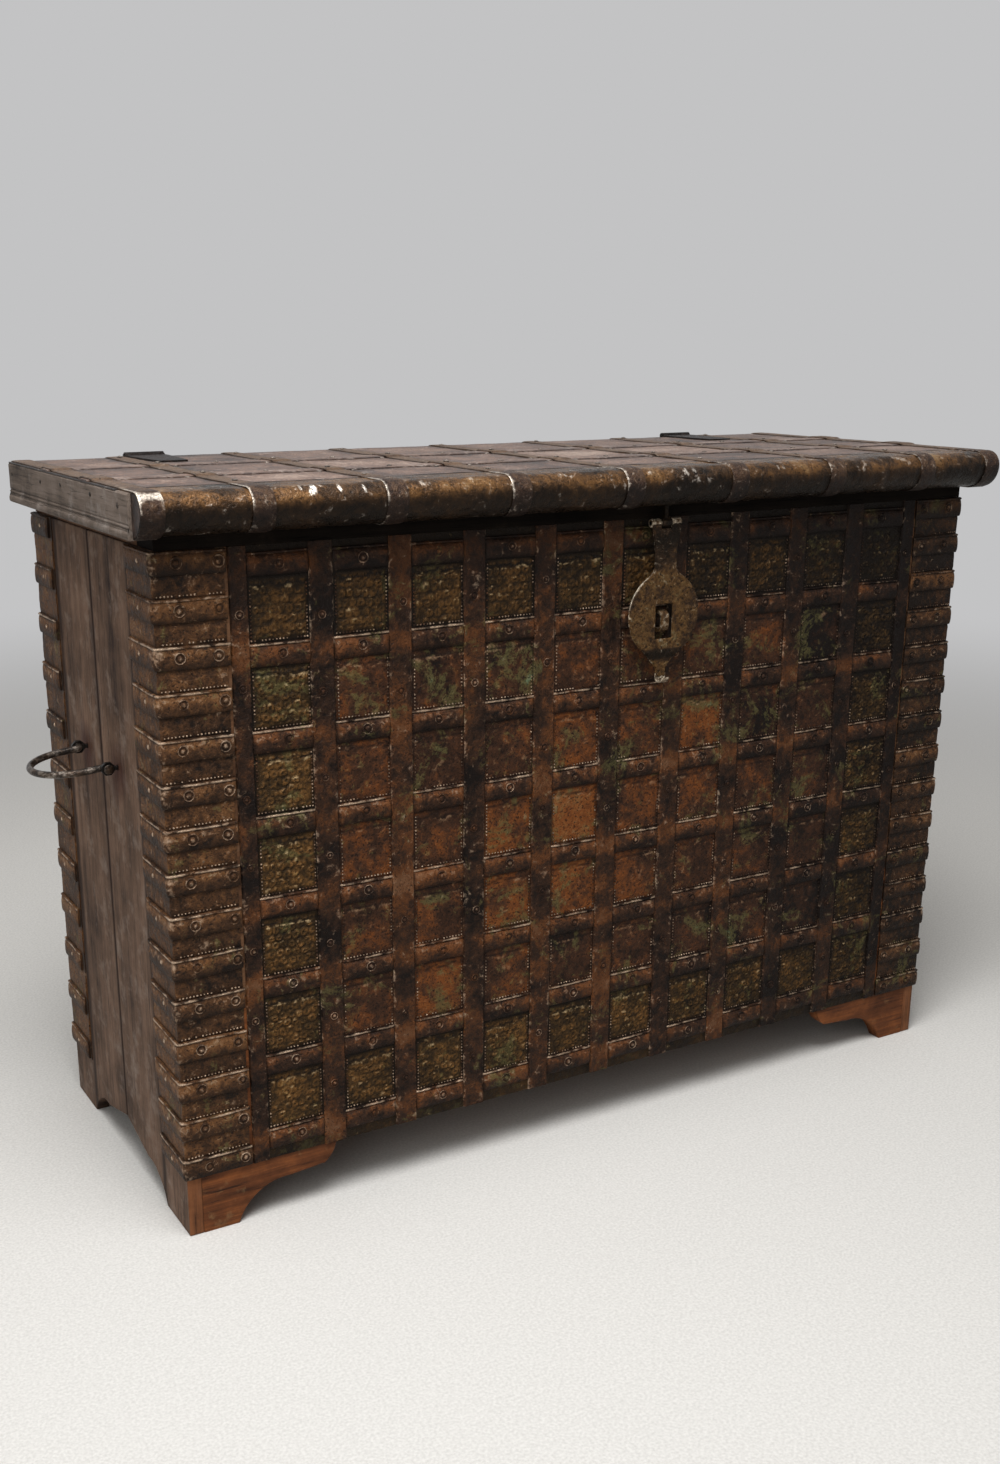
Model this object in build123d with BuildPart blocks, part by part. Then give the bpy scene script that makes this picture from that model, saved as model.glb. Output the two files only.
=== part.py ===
from build123d import *
import math
import os

# Iron-bound dowry chest: a planked carcass on bracket feet, clad in plates and straps of
# wrought iron, with a flat lid that has a rolled front edge, a hanging hasp and two bail handles.
# Millimetres. X runs along the front, Y from front to back, Z up from the floor.
# The origin is on the floor, midway between the ends and midway between the
# foremost and the rearmost point of the chest.

# Carcass, over its iron
body_width = 1200.0
body_depth = 465.0
body_top = 826.0
iron_bottom = 77.0

# Boards of the carcass
front_board_thickness = 22.0
side_board_thickness = 18.0
floor_thickness = 18.0
floor_height = 84.0
board_joint = 0.8
wide_joint_shares = (0.36, 0.68)
floor_board_count = 3
post_size = 32.0
post_shortfall = 6.0
cleat_width = 26.0
cleat_height = 20.0

# Bracket feet: the toe is what stands on the floor, the reach is where the bracket ends
front_toe = 68.0
front_reach = 202.0
front_cove_shares = (0.515, 0.60)
front_shelf_shares = (0.875, 0.65)
side_toe = 82.0
side_cove_run = 66.0
side_cove_height = 37.0
side_arch_height = 58.0
cove_sagitta_share = 0.17
nose_sagitta_share = 0.10

# Iron on the front: a grid of straps over square plates
plate_thickness = 1.2
plate_gap = 1.0
strap_thickness = 3.0
strap_edge_share = 0.4
strap_bevel = 4.0
upright_width = 30.0
end_upright_width = 22.0
column_count = 10
corner_column = 100.0
row_width = 27.0
row_height = 3.0
row_shoulder_shares = (0.62, 0.74)
row_count = 8
lowest_row_rise = 27.0
highest_row_drop = 22.0

# Iron strips bent round the four corners, over a sheet bent the same way
corner_reach = 88.0
strip_height = 26.0
strip_bend = 2.0
front_strip_count = 15
back_strip_count = 12

# Lid
lid_gap = 0.5
neck_height = 14.0
neck_setback = 1.0
fascia_height = 48.7
fascia_reach = 14.0
fascia_thickness = 32.0
fascia_bead = 9.0
fascia_bead_stand = 2.0
lid_overhang = 26.0
lid_rear_gap = 0.8
plank_thickness = 20.0
plank_count = 3
rail_thickness = 30.0
batten_width = 45.0
batten_thickness = 22.0
batten_count = 3

# Rolled front edge of the lid
roll_reach = 42.0
roll_seat = 24.0
roll_inset = 6.0
roll_nose_share = 0.6
straps_per_sheet = 2
trim_gap = 0.3

# Straps and plates on the lid
lid_strap_thickness = 2.0
lid_strap_width = 27.0
lid_strap_count = 7
lid_strap_inset = 141.5
long_strap_width = 34.0
long_strap_shares = (0.27, 0.63)
strap_ramp = 7.0
strap_heel = 2.0

# Hinges at the top rear edge of the lid
hinge_inset = 158.0
hinge_width = 54.0
barrel_radius = 4.5
barrel_lift = 1.6
hinge_pin_radius = 2.2
hinge_pin_end = 1.5
leaf_thickness = 2.5
lid_leaf_length = 110.0
body_leaf_drop = 112.0
leaf_taper_share = 0.72
knuckle_gap = 0.4

# Fits
running_fit = 0.08
fixed_fit = 0.02
leg_fit = 0.25

# Hasp, its eye and the lock staple
hasp_bay_share = 0.68
hasp_pivot_stand = 11.0
hasp_pivot_drop = 5.0
hasp_thickness = 3.0
hasp_knuckle_radius = 5.6
hasp_pin_radius = 2.6
hasp_ear_span = 45.0
hasp_neck_width = 34.0
hasp_neck_length = 36.0
hasp_disc_radius = 55.0
hasp_disc_drop = 115.0
hasp_tail_root = 60.0
hasp_tail_width = 16.0
hasp_tail_drop = 184.0
hasp_tail_end_drop = 197.0
hasp_curl_radius = 3.0
hasp_neck_fillet = 12.0
hasp_slot_width = 26.0
hasp_slot_height = 44.0
hasp_slot_drop = 124.0
eye_width = 15.0
eye_radius = 6.2
eye_sides = 8
eye_shank_square = 5.4
eye_shank_depth = 18.0
staple_width = 12.0
staple_height = 28.0
staple_wire = 5.0
staple_stand = 19.0
staple_corner = 10.0
staple_clinch = 12.0
staple_slot_gap = 8.0

# Bail handles on the sides
handle_height = 550.0
handle_rod_radius = 4.75
handle_rod_sides = 6
handle_eye_sides = 8
handle_half_span = 52.0
handle_arm = 24.0
handle_bend = 5.5
handle_bend_chords = 3
handle_bow_chords = 16
handle_droop = 5.0
handle_pivot_stand = 12.0
handle_head_radius = 6.2
handle_head_length = 3.0
handle_eye_half_span = 60.5
handle_eye_width = 4.4
handle_eye_wall = 3.6
handle_eye_fit = 0.35
handle_head_gap = 0.8
handle_clinch = 14.0
handle_clinch_thickness = 2.5

# Places that follow from the sizes
iron_stack = plate_thickness + strap_thickness
half_width = body_width / 2
wood_half = half_width - iron_stack
inner_half = wood_half - side_board_thickness
lid_bottom = body_top + lid_gap
fascia_bottom = lid_bottom + neck_height
lid_wood_top = fascia_bottom + fascia_height
lid_plate_top = lid_wood_top + plate_thickness
plank_bottom = lid_wood_top - plank_thickness
lid_half = half_width + lid_overhang
neck_half = lid_half - fascia_thickness
roll_half = lid_half - roll_inset
lid_strap_pitch = 2 * (lid_half - lid_strap_inset) / (lid_strap_count - 1)
hinge_back = body_depth - iron_stack
front_y = (roll_reach + lid_strap_thickness - hinge_back - 2 * barrel_radius) / 2
back_y = front_y + body_depth
front_wood_y = front_y + iron_stack
front_inner_y = front_wood_y + front_board_thickness
back_wood_y = back_y - iron_stack
back_inner_y = back_wood_y - front_board_thickness
middle_y = (front_y + back_y) / 2
lid_back_y = back_wood_y - lid_rear_gap
hinge_y = back_wood_y + barrel_radius
hinge_z = lid_plate_top + barrel_lift
hinge_place = half_width - hinge_inset
pitch = (body_width - 2 * corner_column) / column_count
upright_places = [i * pitch - half_width + corner_column for i in range(column_count + 1)]
upright_widths = [upright_width] * (column_count + 1)
upright_widths[0] = upright_widths[-1] = end_upright_width
row_rise = body_top - highest_row_drop - iron_bottom - lowest_row_rise
row_pitch = row_rise / (row_count - 1)
row_places = [iron_bottom + lowest_row_rise + j * row_pitch for j in range(row_count)]
hasp_place = hasp_bay_share * pitch
hasp_y = front_y - hasp_pivot_stand
hasp_z = body_top - hasp_pivot_drop
hasp_back_y = hasp_y - hasp_knuckle_radius + hasp_thickness
slot_bottom = hasp_z - hasp_slot_drop - hasp_slot_height / 2
staple_bottom = slot_bottom + staple_slot_gap
staple_z = staple_bottom + staple_height / 2

os.makedirs("parts", exist_ok=True)


def save(part, name):
    """Labels a finished piece and writes it to its own file."""
    part.label = name
    export_step(part, f"parts/{name}.step")


def facing_front(y):
    """The upright plane at depth y: its first axis is X, its second Z, and it faces the front."""
    return Plane.XZ.offset(-y)


def slab(x_span, y_span, z_span):
    """A squared piece of wood or iron, given by its limits along each axis."""
    sizes = [span[1] - span[0] for span in (x_span, y_span, z_span)]
    middle = [(span[0] + span[1]) / 2 for span in (x_span, y_span, z_span)]
    with BuildPart() as piece:
        with Locations(tuple(middle)):
            Box(*sizes)
    return piece.part


def mirrored(part):
    """The right-hand twin of a left-hand piece."""
    with BuildPart() as twin:
        mirror(part, about=Plane.YZ)
    return twin.part


# Wide boards of the front and back, three in height
# The lowest one is sawn to the bracket feet, and the highest front one is pierced by the staple
joint_levels = [share * body_top for share in wide_joint_shares]
board_lows = [0] + [level + board_joint for level in joint_levels]
board_highs = joint_levels + [body_top]
foot_rise = iron_bottom


def front_bracket(side):
    """One foot's edge on a wide board, from its toe on the floor up to the rail."""
    corner = side * half_width
    run = front_reach - front_toe
    toe = (corner - side * front_toe, 0)
    cove = (corner - side * (front_toe + front_cove_shares[0] * run), front_cove_shares[1] * foot_rise)
    shelf = (corner - side * (front_toe + front_shelf_shares[0] * run), front_shelf_shares[1] * foot_rise)
    end = (corner - side * front_reach, foot_rise)
    cove_run = math.dist(toe, cove)
    nose_run = math.dist(shelf, end)
    SagittaArc(toe, cove, -side * cove_sagitta_share * cove_run)
    Line(cove, shelf)
    SagittaArc(shelf, end, side * nose_sagitta_share * nose_run)
    return toe, end


for wall, outer_y in (("front", front_wood_y), ("back", back_inner_y)):
    with BuildPart() as lower_board:
        with BuildSketch(facing_front(outer_y)):
            with BuildLine():
                left_toe, left_end = front_bracket(-1)
                right_toe, right_end = front_bracket(1)
                Line(left_end, right_end)
                Polyline(left_toe, (-inner_half, 0), (-inner_half, board_highs[0]),
                         (inner_half, board_highs[0]), (inner_half, 0), right_toe)
            make_face()
        extrude(amount=-front_board_thickness)
    save(lower_board.part, f"{wall}_board_lower")
    for place, low, high in zip(("middle", "upper"), board_lows[1:], board_highs[1:]):
        with BuildPart() as wide_board:
            with BuildSketch(facing_front(outer_y)):
                with Locations((0, (low + high) / 2)):
                    Rectangle(2 * inner_half, high - low)
                if wall == "front" and place == "upper":
                    leg_rise = (staple_height - staple_wire) / 2
                    with Locations((hasp_place, staple_z - leg_rise), (hasp_place, staple_z + leg_rise)):
                        Rectangle(staple_width + 2 * leg_fit, staple_wire + 2 * leg_fit,
                                  mode=Mode.SUBTRACT)
            extrude(amount=-front_board_thickness)
        save(wide_board.part, f"{wall}_board_{place}")

# Upright boards of the two ends, front and back, each with half of the end's arch
# A square hole takes the shank of the handle's eye
for place, edge_y, inward in (("front", front_wood_y, 1), ("back", back_wood_y, -1)):
    toe = (edge_y + inward * side_toe, 0)
    cove = (edge_y + inward * (side_toe + side_cove_run), side_cove_height)
    joint_y = middle_y - inward * board_joint / 2
    with BuildPart() as end_board:
        with BuildSketch(Plane.YZ.offset(-wood_half)):
            with BuildLine():
                SagittaArc(toe, cove, inward * cove_sagitta_share * math.dist(toe, cove))
                Polyline(cove, (joint_y, side_arch_height), (joint_y, body_top), (edge_y, body_top),
                         (edge_y, 0), toe)
            make_face()
            with Locations((middle_y - inward * handle_eye_half_span, handle_height)):
                Rectangle(handle_eye_width + 2 * leg_fit, handle_eye_width + 2 * leg_fit,
                          mode=Mode.SUBTRACT)
        extrude(amount=side_board_thickness)
    save(end_board.part, f"left_board_{place}")
    save(mirrored(end_board.part), f"right_board_{place}")

# Floor boards, the cleats that carry them, and the posts in the corners
floor_depth = back_inner_y - front_inner_y
floor_step = floor_depth / floor_board_count
floor_top = floor_height + floor_thickness
for number in range(floor_board_count):
    low_y = front_inner_y + number * floor_step + (board_joint if number else 0)
    high_y = front_inner_y + (number + 1) * floor_step
    save(slab((-inner_half, inner_half), (low_y, high_y), (floor_height, floor_top)),
         f"floor_board_{number + 1}")
left_cleat = slab((-inner_half, cleat_width - inner_half), (front_inner_y, back_inner_y),
                  (floor_height - cleat_height, floor_height))
save(left_cleat, "left_floor_cleat")
save(mirrored(left_cleat), "right_floor_cleat")
with BuildPart() as corner_posts:
    with BuildSketch(Plane.XY.offset(floor_top)):
        with Locations((0, middle_y)):
            with GridLocations(2 * inner_half - post_size, floor_depth - post_size, 2, 2):
                Rectangle(post_size, post_size)
    extrude(amount=body_top - post_shortfall - floor_top)
save(corner_posts.part, "corner_posts")

# Square plates on the front, plain ones in the field and embossed ones round its edge
# Each runs under the middle of the straps beside it, and the outer ones to the iron's edge
plate_levels = [iron_bottom] + row_places[1:-1] + [body_top]


def plate_span(column, row):
    """Limits along X and Z of one front plate."""
    x_span = (upright_places[column] + plate_gap / 2, upright_places[column + 1] - plate_gap / 2)
    z_span = (plate_levels[row] + plate_gap / 2 * (row > 0),
              plate_levels[row + 1] - plate_gap / 2 * (row < row_count - 2))
    return x_span, z_span


# What the iron of the front leaves open for the lock staple
staple_opening = slab(
    (hasp_place - staple_width / 2 - leg_fit, hasp_place + staple_width / 2 + leg_fit),
    (front_y - row_height, front_wood_y),
    (staple_z - staple_height / 2 - leg_fit, staple_z + staple_height / 2 + leg_fit))


def is_edge(column, row):
    """True for the plates of the field's outer columns and rows."""
    return column in (0, column_count - 1) or row in (0, row_count - 2)


for kind, embossed in (("plain", False), ("embossed", True)):
    with BuildPart() as front_plates:
        for column in range(column_count):
            for row in range(row_count - 1):
                if is_edge(column, row) != embossed:
                    continue
                (x_low, x_high), (z_low, z_high) = plate_span(column, row)
                with Locations(((x_low + x_high) / 2, front_wood_y - plate_thickness / 2,
                                (z_low + z_high) / 2)):
                    Box(x_high - x_low, plate_thickness, z_high - z_low)
        add(staple_opening, mode=Mode.SUBTRACT)
    save(front_plates.part, f"front_{kind}_plates")

# Upright straps of the front, bevelled along both edges
plate_face_y = front_wood_y - plate_thickness
with BuildPart() as front_upright_straps:
    with BuildSketch(Plane.XY.offset(iron_bottom)):
        for place, width in zip(upright_places, upright_widths):
            edge = strap_edge_share * strap_thickness
            left, right = place - width / 2, place + width / 2
            with BuildLine():
                Polyline((left, plate_face_y), (left, plate_face_y - edge),
                         (left + strap_bevel, plate_face_y - strap_thickness),
                         (right - strap_bevel, plate_face_y - strap_thickness),
                         (right, plate_face_y - edge), (right, plate_face_y), close=True)
            make_face()
    extrude(amount=body_top - iron_bottom)
save(front_upright_straps.part, "front_upright_straps")

# Rows of strap between the uprights, hammered up to a low ridge with two shoulders
with BuildPart() as front_row_straps:
    for column in range(column_count):
        low = upright_places[column] + upright_widths[column] / 2
        high = upright_places[column + 1] - upright_widths[column + 1] / 2
        with BuildSketch(Plane.YZ.offset(low)):
            for level in row_places:
                half = row_width / 2
                shoulder_y = plate_face_y - row_shoulder_shares[1] * row_height
                shoulder = row_shoulder_shares[0] * half
                with BuildLine():
                    Polyline((plate_face_y, level - half), (shoulder_y, level - shoulder),
                             (plate_face_y - row_height, level), (shoulder_y, level + shoulder),
                             (plate_face_y, level + half), close=True)
                make_face()
        extrude(amount=high - low)
    add(staple_opening, mode=Mode.SUBTRACT)
save(front_row_straps.part, "front_row_straps")


def corner_angle(side_x, side_y, inset, thickness, low, high):
    """An angle of iron bent round one corner of the carcass.

    side_x and side_y are -1 or 1 and pick the corner; inset is how far the angle's
    outer face lies inside the carcass's outer face.
    """
    corner_x = side_x * half_width
    corner_y = front_y if side_y < 0 else back_y
    arm = corner_reach - inset
    with BuildPart() as angle:
        with BuildSketch(Plane.XY.offset(low)):
            with Locations((corner_x - side_x * (inset + arm / 2), corner_y - side_y * (inset + arm / 2))):
                Rectangle(arm, arm)
            inner = inset + thickness
            with Locations((corner_x - side_x * (inner + arm / 2), corner_y - side_y * (inner + arm / 2))):
                Rectangle(arm, arm, mode=Mode.SUBTRACT)
        extrude(amount=high - low)
        upright_edges = angle.edges().filter_by(Axis.Z)
        outermost = upright_edges.sort_by(lambda e: side_x * e.center().X + side_y * e.center().Y)[-1]
        chamfer(outermost, length=thickness * strip_bend / strap_thickness)
    return angle.part


def corner_strips(side_x, side_y, count):
    """The raised strips of one corner, spread evenly from the iron's foot to its top."""
    step = (body_top - iron_bottom - strip_height) / (count - 1)
    strip = corner_angle(side_x, side_y, 0, strap_thickness, iron_bottom, iron_bottom + strip_height)
    with BuildPart() as strips:
        with Locations([(0, 0, number * step) for number in range(count)]):
            add(strip)
    return strips.part


for end, side_x in (("left", -1), ("right", 1)):
    for wall, side_y, count in (("front", -1, front_strip_count), ("back", 1, back_strip_count)):
        save(corner_strips(side_x, side_y, count), f"{wall}_{end}_corner_strips")
        sheet = corner_angle(side_x, side_y, strap_thickness, plate_thickness, iron_bottom, body_top)
        save(sheet, f"{wall}_{end}_corner_sheet")

# Lid frame: a rebated front rail under the roll, a back rail, two side rails and the battens
rail_back_y = front_y + roll_seat + rail_thickness
roll_core_bottom = fascia_bottom + lid_strap_thickness + plate_thickness
with BuildPart() as lid_front_rail:
    with BuildSketch(Plane.YZ.offset(-neck_half)):
        with BuildLine():
            Polyline((front_y + neck_setback, lid_bottom), (front_y + neck_setback, roll_core_bottom),
                     (front_y + roll_seat, roll_core_bottom), (front_y + roll_seat, plank_bottom),
                     (rail_back_y, plank_bottom), (rail_back_y, lid_bottom), close=True)
        make_face()
    extrude(amount=2 * neck_half)
save(lid_front_rail.part, "lid_front_rail")
save(slab((-neck_half, neck_half), (lid_back_y - rail_thickness, lid_back_y), (lid_bottom, plank_bottom)),
     "lid_back_rail")
left_rail = slab((-neck_half, rail_thickness - neck_half), (rail_back_y, lid_back_y - rail_thickness),
                 (lid_bottom, plank_bottom))
save(left_rail, "lid_left_rail")
save(mirrored(left_rail), "lid_right_rail")
batten_length = lid_back_y - rail_thickness - rail_back_y
batten_pitch = 2 * neck_half / (batten_count + 1)
batten_places = [(number + 1) * batten_pitch - neck_half for number in range(batten_count)]
with BuildPart() as lid_battens:
    for place in batten_places:
        with Locations((place, rail_back_y + batten_length / 2, plank_bottom - batten_thickness / 2)):
            Box(batten_width, batten_length, batten_thickness)
save(lid_battens.part, "lid_battens")

# Planks of the lid, and the moulded fascia boards that close its ends
plank_front_y = front_y + roll_seat
plank_step = (lid_back_y - plank_front_y) / plank_count
for number in range(plank_count):
    low_y = plank_front_y + number * plank_step + (board_joint if number else 0)
    high_y = plank_front_y + (number + 1) * plank_step
    save(slab((-neck_half, neck_half), (low_y, high_y), (plank_bottom, lid_wood_top)),
         f"lid_plank_{number + 1}")
with BuildPart() as left_fascia:
    with BuildSketch(facing_front(front_y - fascia_reach)):
        face_x = fascia_bead_stand - lid_half
        bead_top = fascia_bottom + fascia_bead
        with BuildLine():
            ThreePointArc((face_x, fascia_bottom), (-lid_half, fascia_bottom + fascia_bead / 2),
                          (face_x, bead_top))
            Polyline((face_x, bead_top), (face_x, lid_wood_top), (-neck_half, lid_wood_top),
                     (-neck_half, fascia_bottom), (face_x, fascia_bottom))
        make_face()
    extrude(amount=front_y - fascia_reach - lid_back_y)
save(left_fascia.part, "left_fascia")
save(mirrored(left_fascia.part), "right_fascia")

# The roll: its section is two quarter rounds that meet at the nose
core_reach = roll_reach - plate_thickness
nose_z = roll_core_bottom + roll_nose_share * (lid_wood_top - roll_core_bottom)
upper_radius = lid_wood_top - nose_z
lower_radius = nose_z - roll_core_bottom
upper_centre = (front_y - core_reach + upper_radius, nose_z)
lower_centre = (front_y - core_reach + lower_radius, nose_z)


def roll_edge(grow, back, heel):
    """The roll's outline, grow outside its wood, from back on the top round the nose to the heel."""
    Line((back, lid_wood_top + grow), (upper_centre[0], lid_wood_top + grow))
    CenterArc(upper_centre, upper_radius + grow, 90, 90)
    CenterArc(lower_centre, lower_radius + grow, 180, 90)
    Line((lower_centre[0], roll_core_bottom - grow), (heel, roll_core_bottom - grow))


def fascia_clearance(side, gap, top):
    """The space that the front end of a fascia board takes out of the roll."""
    inner = side * (neck_half - gap)
    outer = side * (lid_half + gap)
    return slab((min(inner, outer), max(inner, outer)), (front_y - fascia_reach - gap, plank_front_y),
                (fascia_bottom - gap, top))


fascia_spaces = [fascia_clearance(side, 0, lid_wood_top) for side in (-1, 1)]
trimmed_spaces = [fascia_clearance(side, trim_gap, lid_wood_top) for side in (-1, 1)]
eye_hole_square = eye_shank_square + 2 * leg_fit
core_half = roll_half - plate_thickness
with BuildPart() as eye_hole:
    with BuildSketch(Plane.XY.offset(hasp_z)):
        with Locations((hasp_place, hasp_y)):
            Rectangle(eye_hole_square, eye_hole_square)
    extrude(amount=roll_core_bottom + eye_shank_depth - hasp_z)
with BuildPart() as roll_core:
    with BuildSketch(Plane.YZ.offset(-core_half)):
        with BuildLine():
            roll_edge(0, plank_front_y, plank_front_y)
            Line((plank_front_y, roll_core_bottom), (plank_front_y, lid_wood_top))
        make_face()
    extrude(amount=2 * core_half)
    add([*fascia_spaces, eye_hole.part], mode=Mode.SUBTRACT)
save(roll_core.part, "roll_core")

# Iron sheets bent over the roll, each meeting the next under a strap, and the caps on its ends
strap_places = [(number - (lid_strap_count - 1) / 2) * lid_strap_pitch for number in range(lid_strap_count)]
sheet_seams = [-roll_half, *strap_places[straps_per_sheet - 1::straps_per_sheet], roll_half]
sheet_heel = front_y + neck_setback - trim_gap
with BuildPart() as roll_sheets:
    for left, right in zip(sheet_seams[:-1], sheet_seams[1:]):
        low = left + (plate_gap / 2 if left > -roll_half else 0)
        high = right - (plate_gap / 2 if right < roll_half else 0)
        with BuildSketch(Plane.YZ.offset(low)):
            with BuildLine():
                roll_edge(0, plank_front_y, sheet_heel)
                roll_edge(plate_thickness, plank_front_y, sheet_heel)
                Line((plank_front_y, lid_wood_top), (plank_front_y, lid_plate_top))
                Line((sheet_heel, roll_core_bottom), (sheet_heel, roll_core_bottom - plate_thickness))
            make_face()
        extrude(amount=high - low)
    add([*trimmed_spaces, eye_hole.part], mode=Mode.SUBTRACT)
save(roll_sheets.part, "roll_sheets")
with BuildPart() as roll_caps:
    with BuildSketch(Plane.YZ.offset(-roll_half)):
        with BuildLine():
            roll_edge(0, plank_front_y, plank_front_y)
            Line((plank_front_y, roll_core_bottom), (plank_front_y, lid_wood_top))
        make_face()
    extrude(amount=plate_thickness)
    add(trimmed_spaces[0], mode=Mode.SUBTRACT)
    mirror(about=Plane.YZ)
save(roll_caps.part, "roll_caps")

# Iron plates on the lid, in cells between the straps
lid_depth = lid_back_y - plank_front_y
long_places = [plank_front_y + share * lid_depth for share in long_strap_shares]
cell_columns = [-lid_half + fascia_bead_stand, *strap_places, lid_half - fascia_bead_stand]
cell_rows = [plank_front_y + plate_gap / 2, *long_places, lid_back_y]
with BuildPart() as lid_plates:
    for left, right in zip(cell_columns[:-1], cell_columns[1:]):
        for near, far in zip(cell_rows[:-1], cell_rows[1:]):
            with Locations(((left + right) / 2, (near + far) / 2, lid_wood_top + plate_thickness / 2)):
                Box(right - left - plate_gap, far - near - plate_gap, plate_thickness)
save(lid_plates.part, "lid_plates")

# Two straps along the lid, and the straps that cross over them and wrap the roll
with BuildPart() as lid_long_straps:
    with BuildSketch(Plane.XY.offset(lid_plate_top)):
        for place in long_places:
            with Locations((0, place)):
                Rectangle(2 * (lid_half - fascia_bead_stand - plate_gap), long_strap_width)
    extrude(amount=lid_strap_thickness)
save(lid_long_straps.part, "lid_long_straps")


def crossing_line(level, gap):
    """A cross strap's run on the lid at one level: flat, with a step up over each long strap."""
    points = [(lid_back_y - strap_heel, level)]
    for place in reversed(long_places):
        reach = long_strap_width / 2 + gap
        raised = level + lid_strap_thickness
        points += [(place + reach + strap_ramp, level), (place + reach, raised),
                   (place - reach, raised), (place - reach - strap_ramp, level)]
    points.append((plank_front_y, level))
    Polyline(*points)
    return points[0]


with BuildPart() as lid_cross_straps:
    band_half = lid_strap_width / 2
    band_places = [band_half - roll_half, *strap_places, roll_half - band_half]
    strap_end = front_y + neck_setback - strap_heel
    for place in band_places:
        with BuildSketch(Plane.YZ.offset(place - band_half)):
            with BuildLine():
                low_start = crossing_line(lid_plate_top, trim_gap)
                roll_edge(plate_thickness, plank_front_y, strap_end)
                high_start = crossing_line(lid_plate_top + lid_strap_thickness, trim_gap)
                roll_edge(plate_thickness + lid_strap_thickness, plank_front_y, strap_end)
                Line(low_start, high_start)
                strap_low = roll_core_bottom - plate_thickness
                Line((strap_end, strap_low), (strap_end, strap_low - lid_strap_thickness))
            make_face()
        extrude(amount=lid_strap_width)
    add(trimmed_spaces, mode=Mode.SUBTRACT)
save(lid_cross_straps.part, "lid_cross_straps")

# Hinges: one leaf on the lid with the outer knuckles, one down the back with the middle one
knuckle = hinge_width / 3
hinge_clear = barrel_radius + 2 * trim_gap


def barrel(x_span, radius, bore):
    """A length of hinge barrel round the hinge's axis."""
    with BuildPart() as length:
        with BuildSketch(Plane.YZ.offset(x_span[0])):
            with Locations((hinge_y, hinge_z)):
                Circle(radius)
                if bore:
                    Circle(bore, mode=Mode.SUBTRACT)
        extrude(amount=x_span[1] - x_span[0])
    return length.part


low_x = -hinge_place - hinge_width / 2
high_x = low_x + hinge_width
middle_low = low_x + knuckle
middle_high = high_x - knuckle
running_bore = hinge_pin_radius + running_fit
with BuildPart() as left_hinge_lid_leaf:
    tip_y = lid_back_y - lid_leaf_length
    tip_half = leaf_taper_share * hinge_width / 2
    with BuildSketch(Plane.XY.offset(lid_plate_top)):
        with BuildLine():
            Polyline((low_x, hinge_y), (low_x, lid_back_y - knuckle), (-hinge_place - tip_half, tip_y),
                     (tip_half - hinge_place, tip_y), (high_x, lid_back_y - knuckle), (high_x, hinge_y),
                     close=True)
        make_face()
        with Locations((-hinge_place, hinge_y)):
            Rectangle(knuckle + 2 * knuckle_gap, 2 * hinge_clear, mode=Mode.SUBTRACT)
    extrude(amount=leaf_thickness)
    add(barrel((low_x, middle_low - knuckle_gap), barrel_radius, 0))
    add(barrel((middle_high + knuckle_gap, high_x), barrel_radius, 0))
    add(barrel((low_x, high_x), running_bore, 0), mode=Mode.SUBTRACT)
save(left_hinge_lid_leaf.part, "left_hinge_lid_leaf")
save(mirrored(left_hinge_lid_leaf.part), "right_hinge_lid_leaf")
with BuildPart() as left_hinge_body_leaf:
    foot_z = body_top - body_leaf_drop
    foot_half = leaf_taper_share * hinge_width / 2
    shoulder_z = hinge_z - hinge_clear
    with BuildSketch(facing_front(back_wood_y)):
        with BuildLine():
            Polyline((low_x, shoulder_z), (low_x, foot_z + knuckle), (-hinge_place - foot_half, foot_z),
                     (foot_half - hinge_place, foot_z), (high_x, foot_z + knuckle), (high_x, shoulder_z),
                     (middle_high, shoulder_z), (middle_high, hinge_z), (middle_low, hinge_z),
                     (middle_low, shoulder_z), close=True)
        make_face()
    extrude(amount=-leaf_thickness)
    add(barrel((middle_low, middle_high), barrel_radius, 0))
    add(barrel((middle_low, middle_high), hinge_pin_radius + fixed_fit, 0), mode=Mode.SUBTRACT)
save(left_hinge_body_leaf.part, "left_hinge_body_leaf")
save(mirrored(left_hinge_body_leaf.part), "right_hinge_body_leaf")
left_hinge_pin = barrel((low_x - hinge_pin_end, high_x + hinge_pin_end), hinge_pin_radius, 0)
save(left_hinge_pin, "left_hinge_pin")
save(mirrored(left_hinge_pin), "right_hinge_pin")

# Hasp: a forged plate with two ears rolled round a pin, a slotted disc and a curled tail
disc_z = hasp_z - hasp_disc_drop
ear_half = hasp_ear_span / 2
neck_half_width = hasp_neck_width / 2
ear_inner = eye_width / 2 + knuckle_gap
ear_root_z = hasp_z - eye_radius - 2 * knuckle_gap


def along_hasp_pin(x_span, radius, bore):
    """A round piece on the hasp's pin axis, with an optional bore."""
    with BuildPart() as piece:
        with BuildSketch(Plane.YZ.offset(hasp_place + x_span[0])):
            with Locations((hasp_y, hasp_z)):
                Circle(radius)
                if bore:
                    Circle(bore, mode=Mode.SUBTRACT)
        extrude(amount=x_span[1] - x_span[0])
    return piece.part


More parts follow.
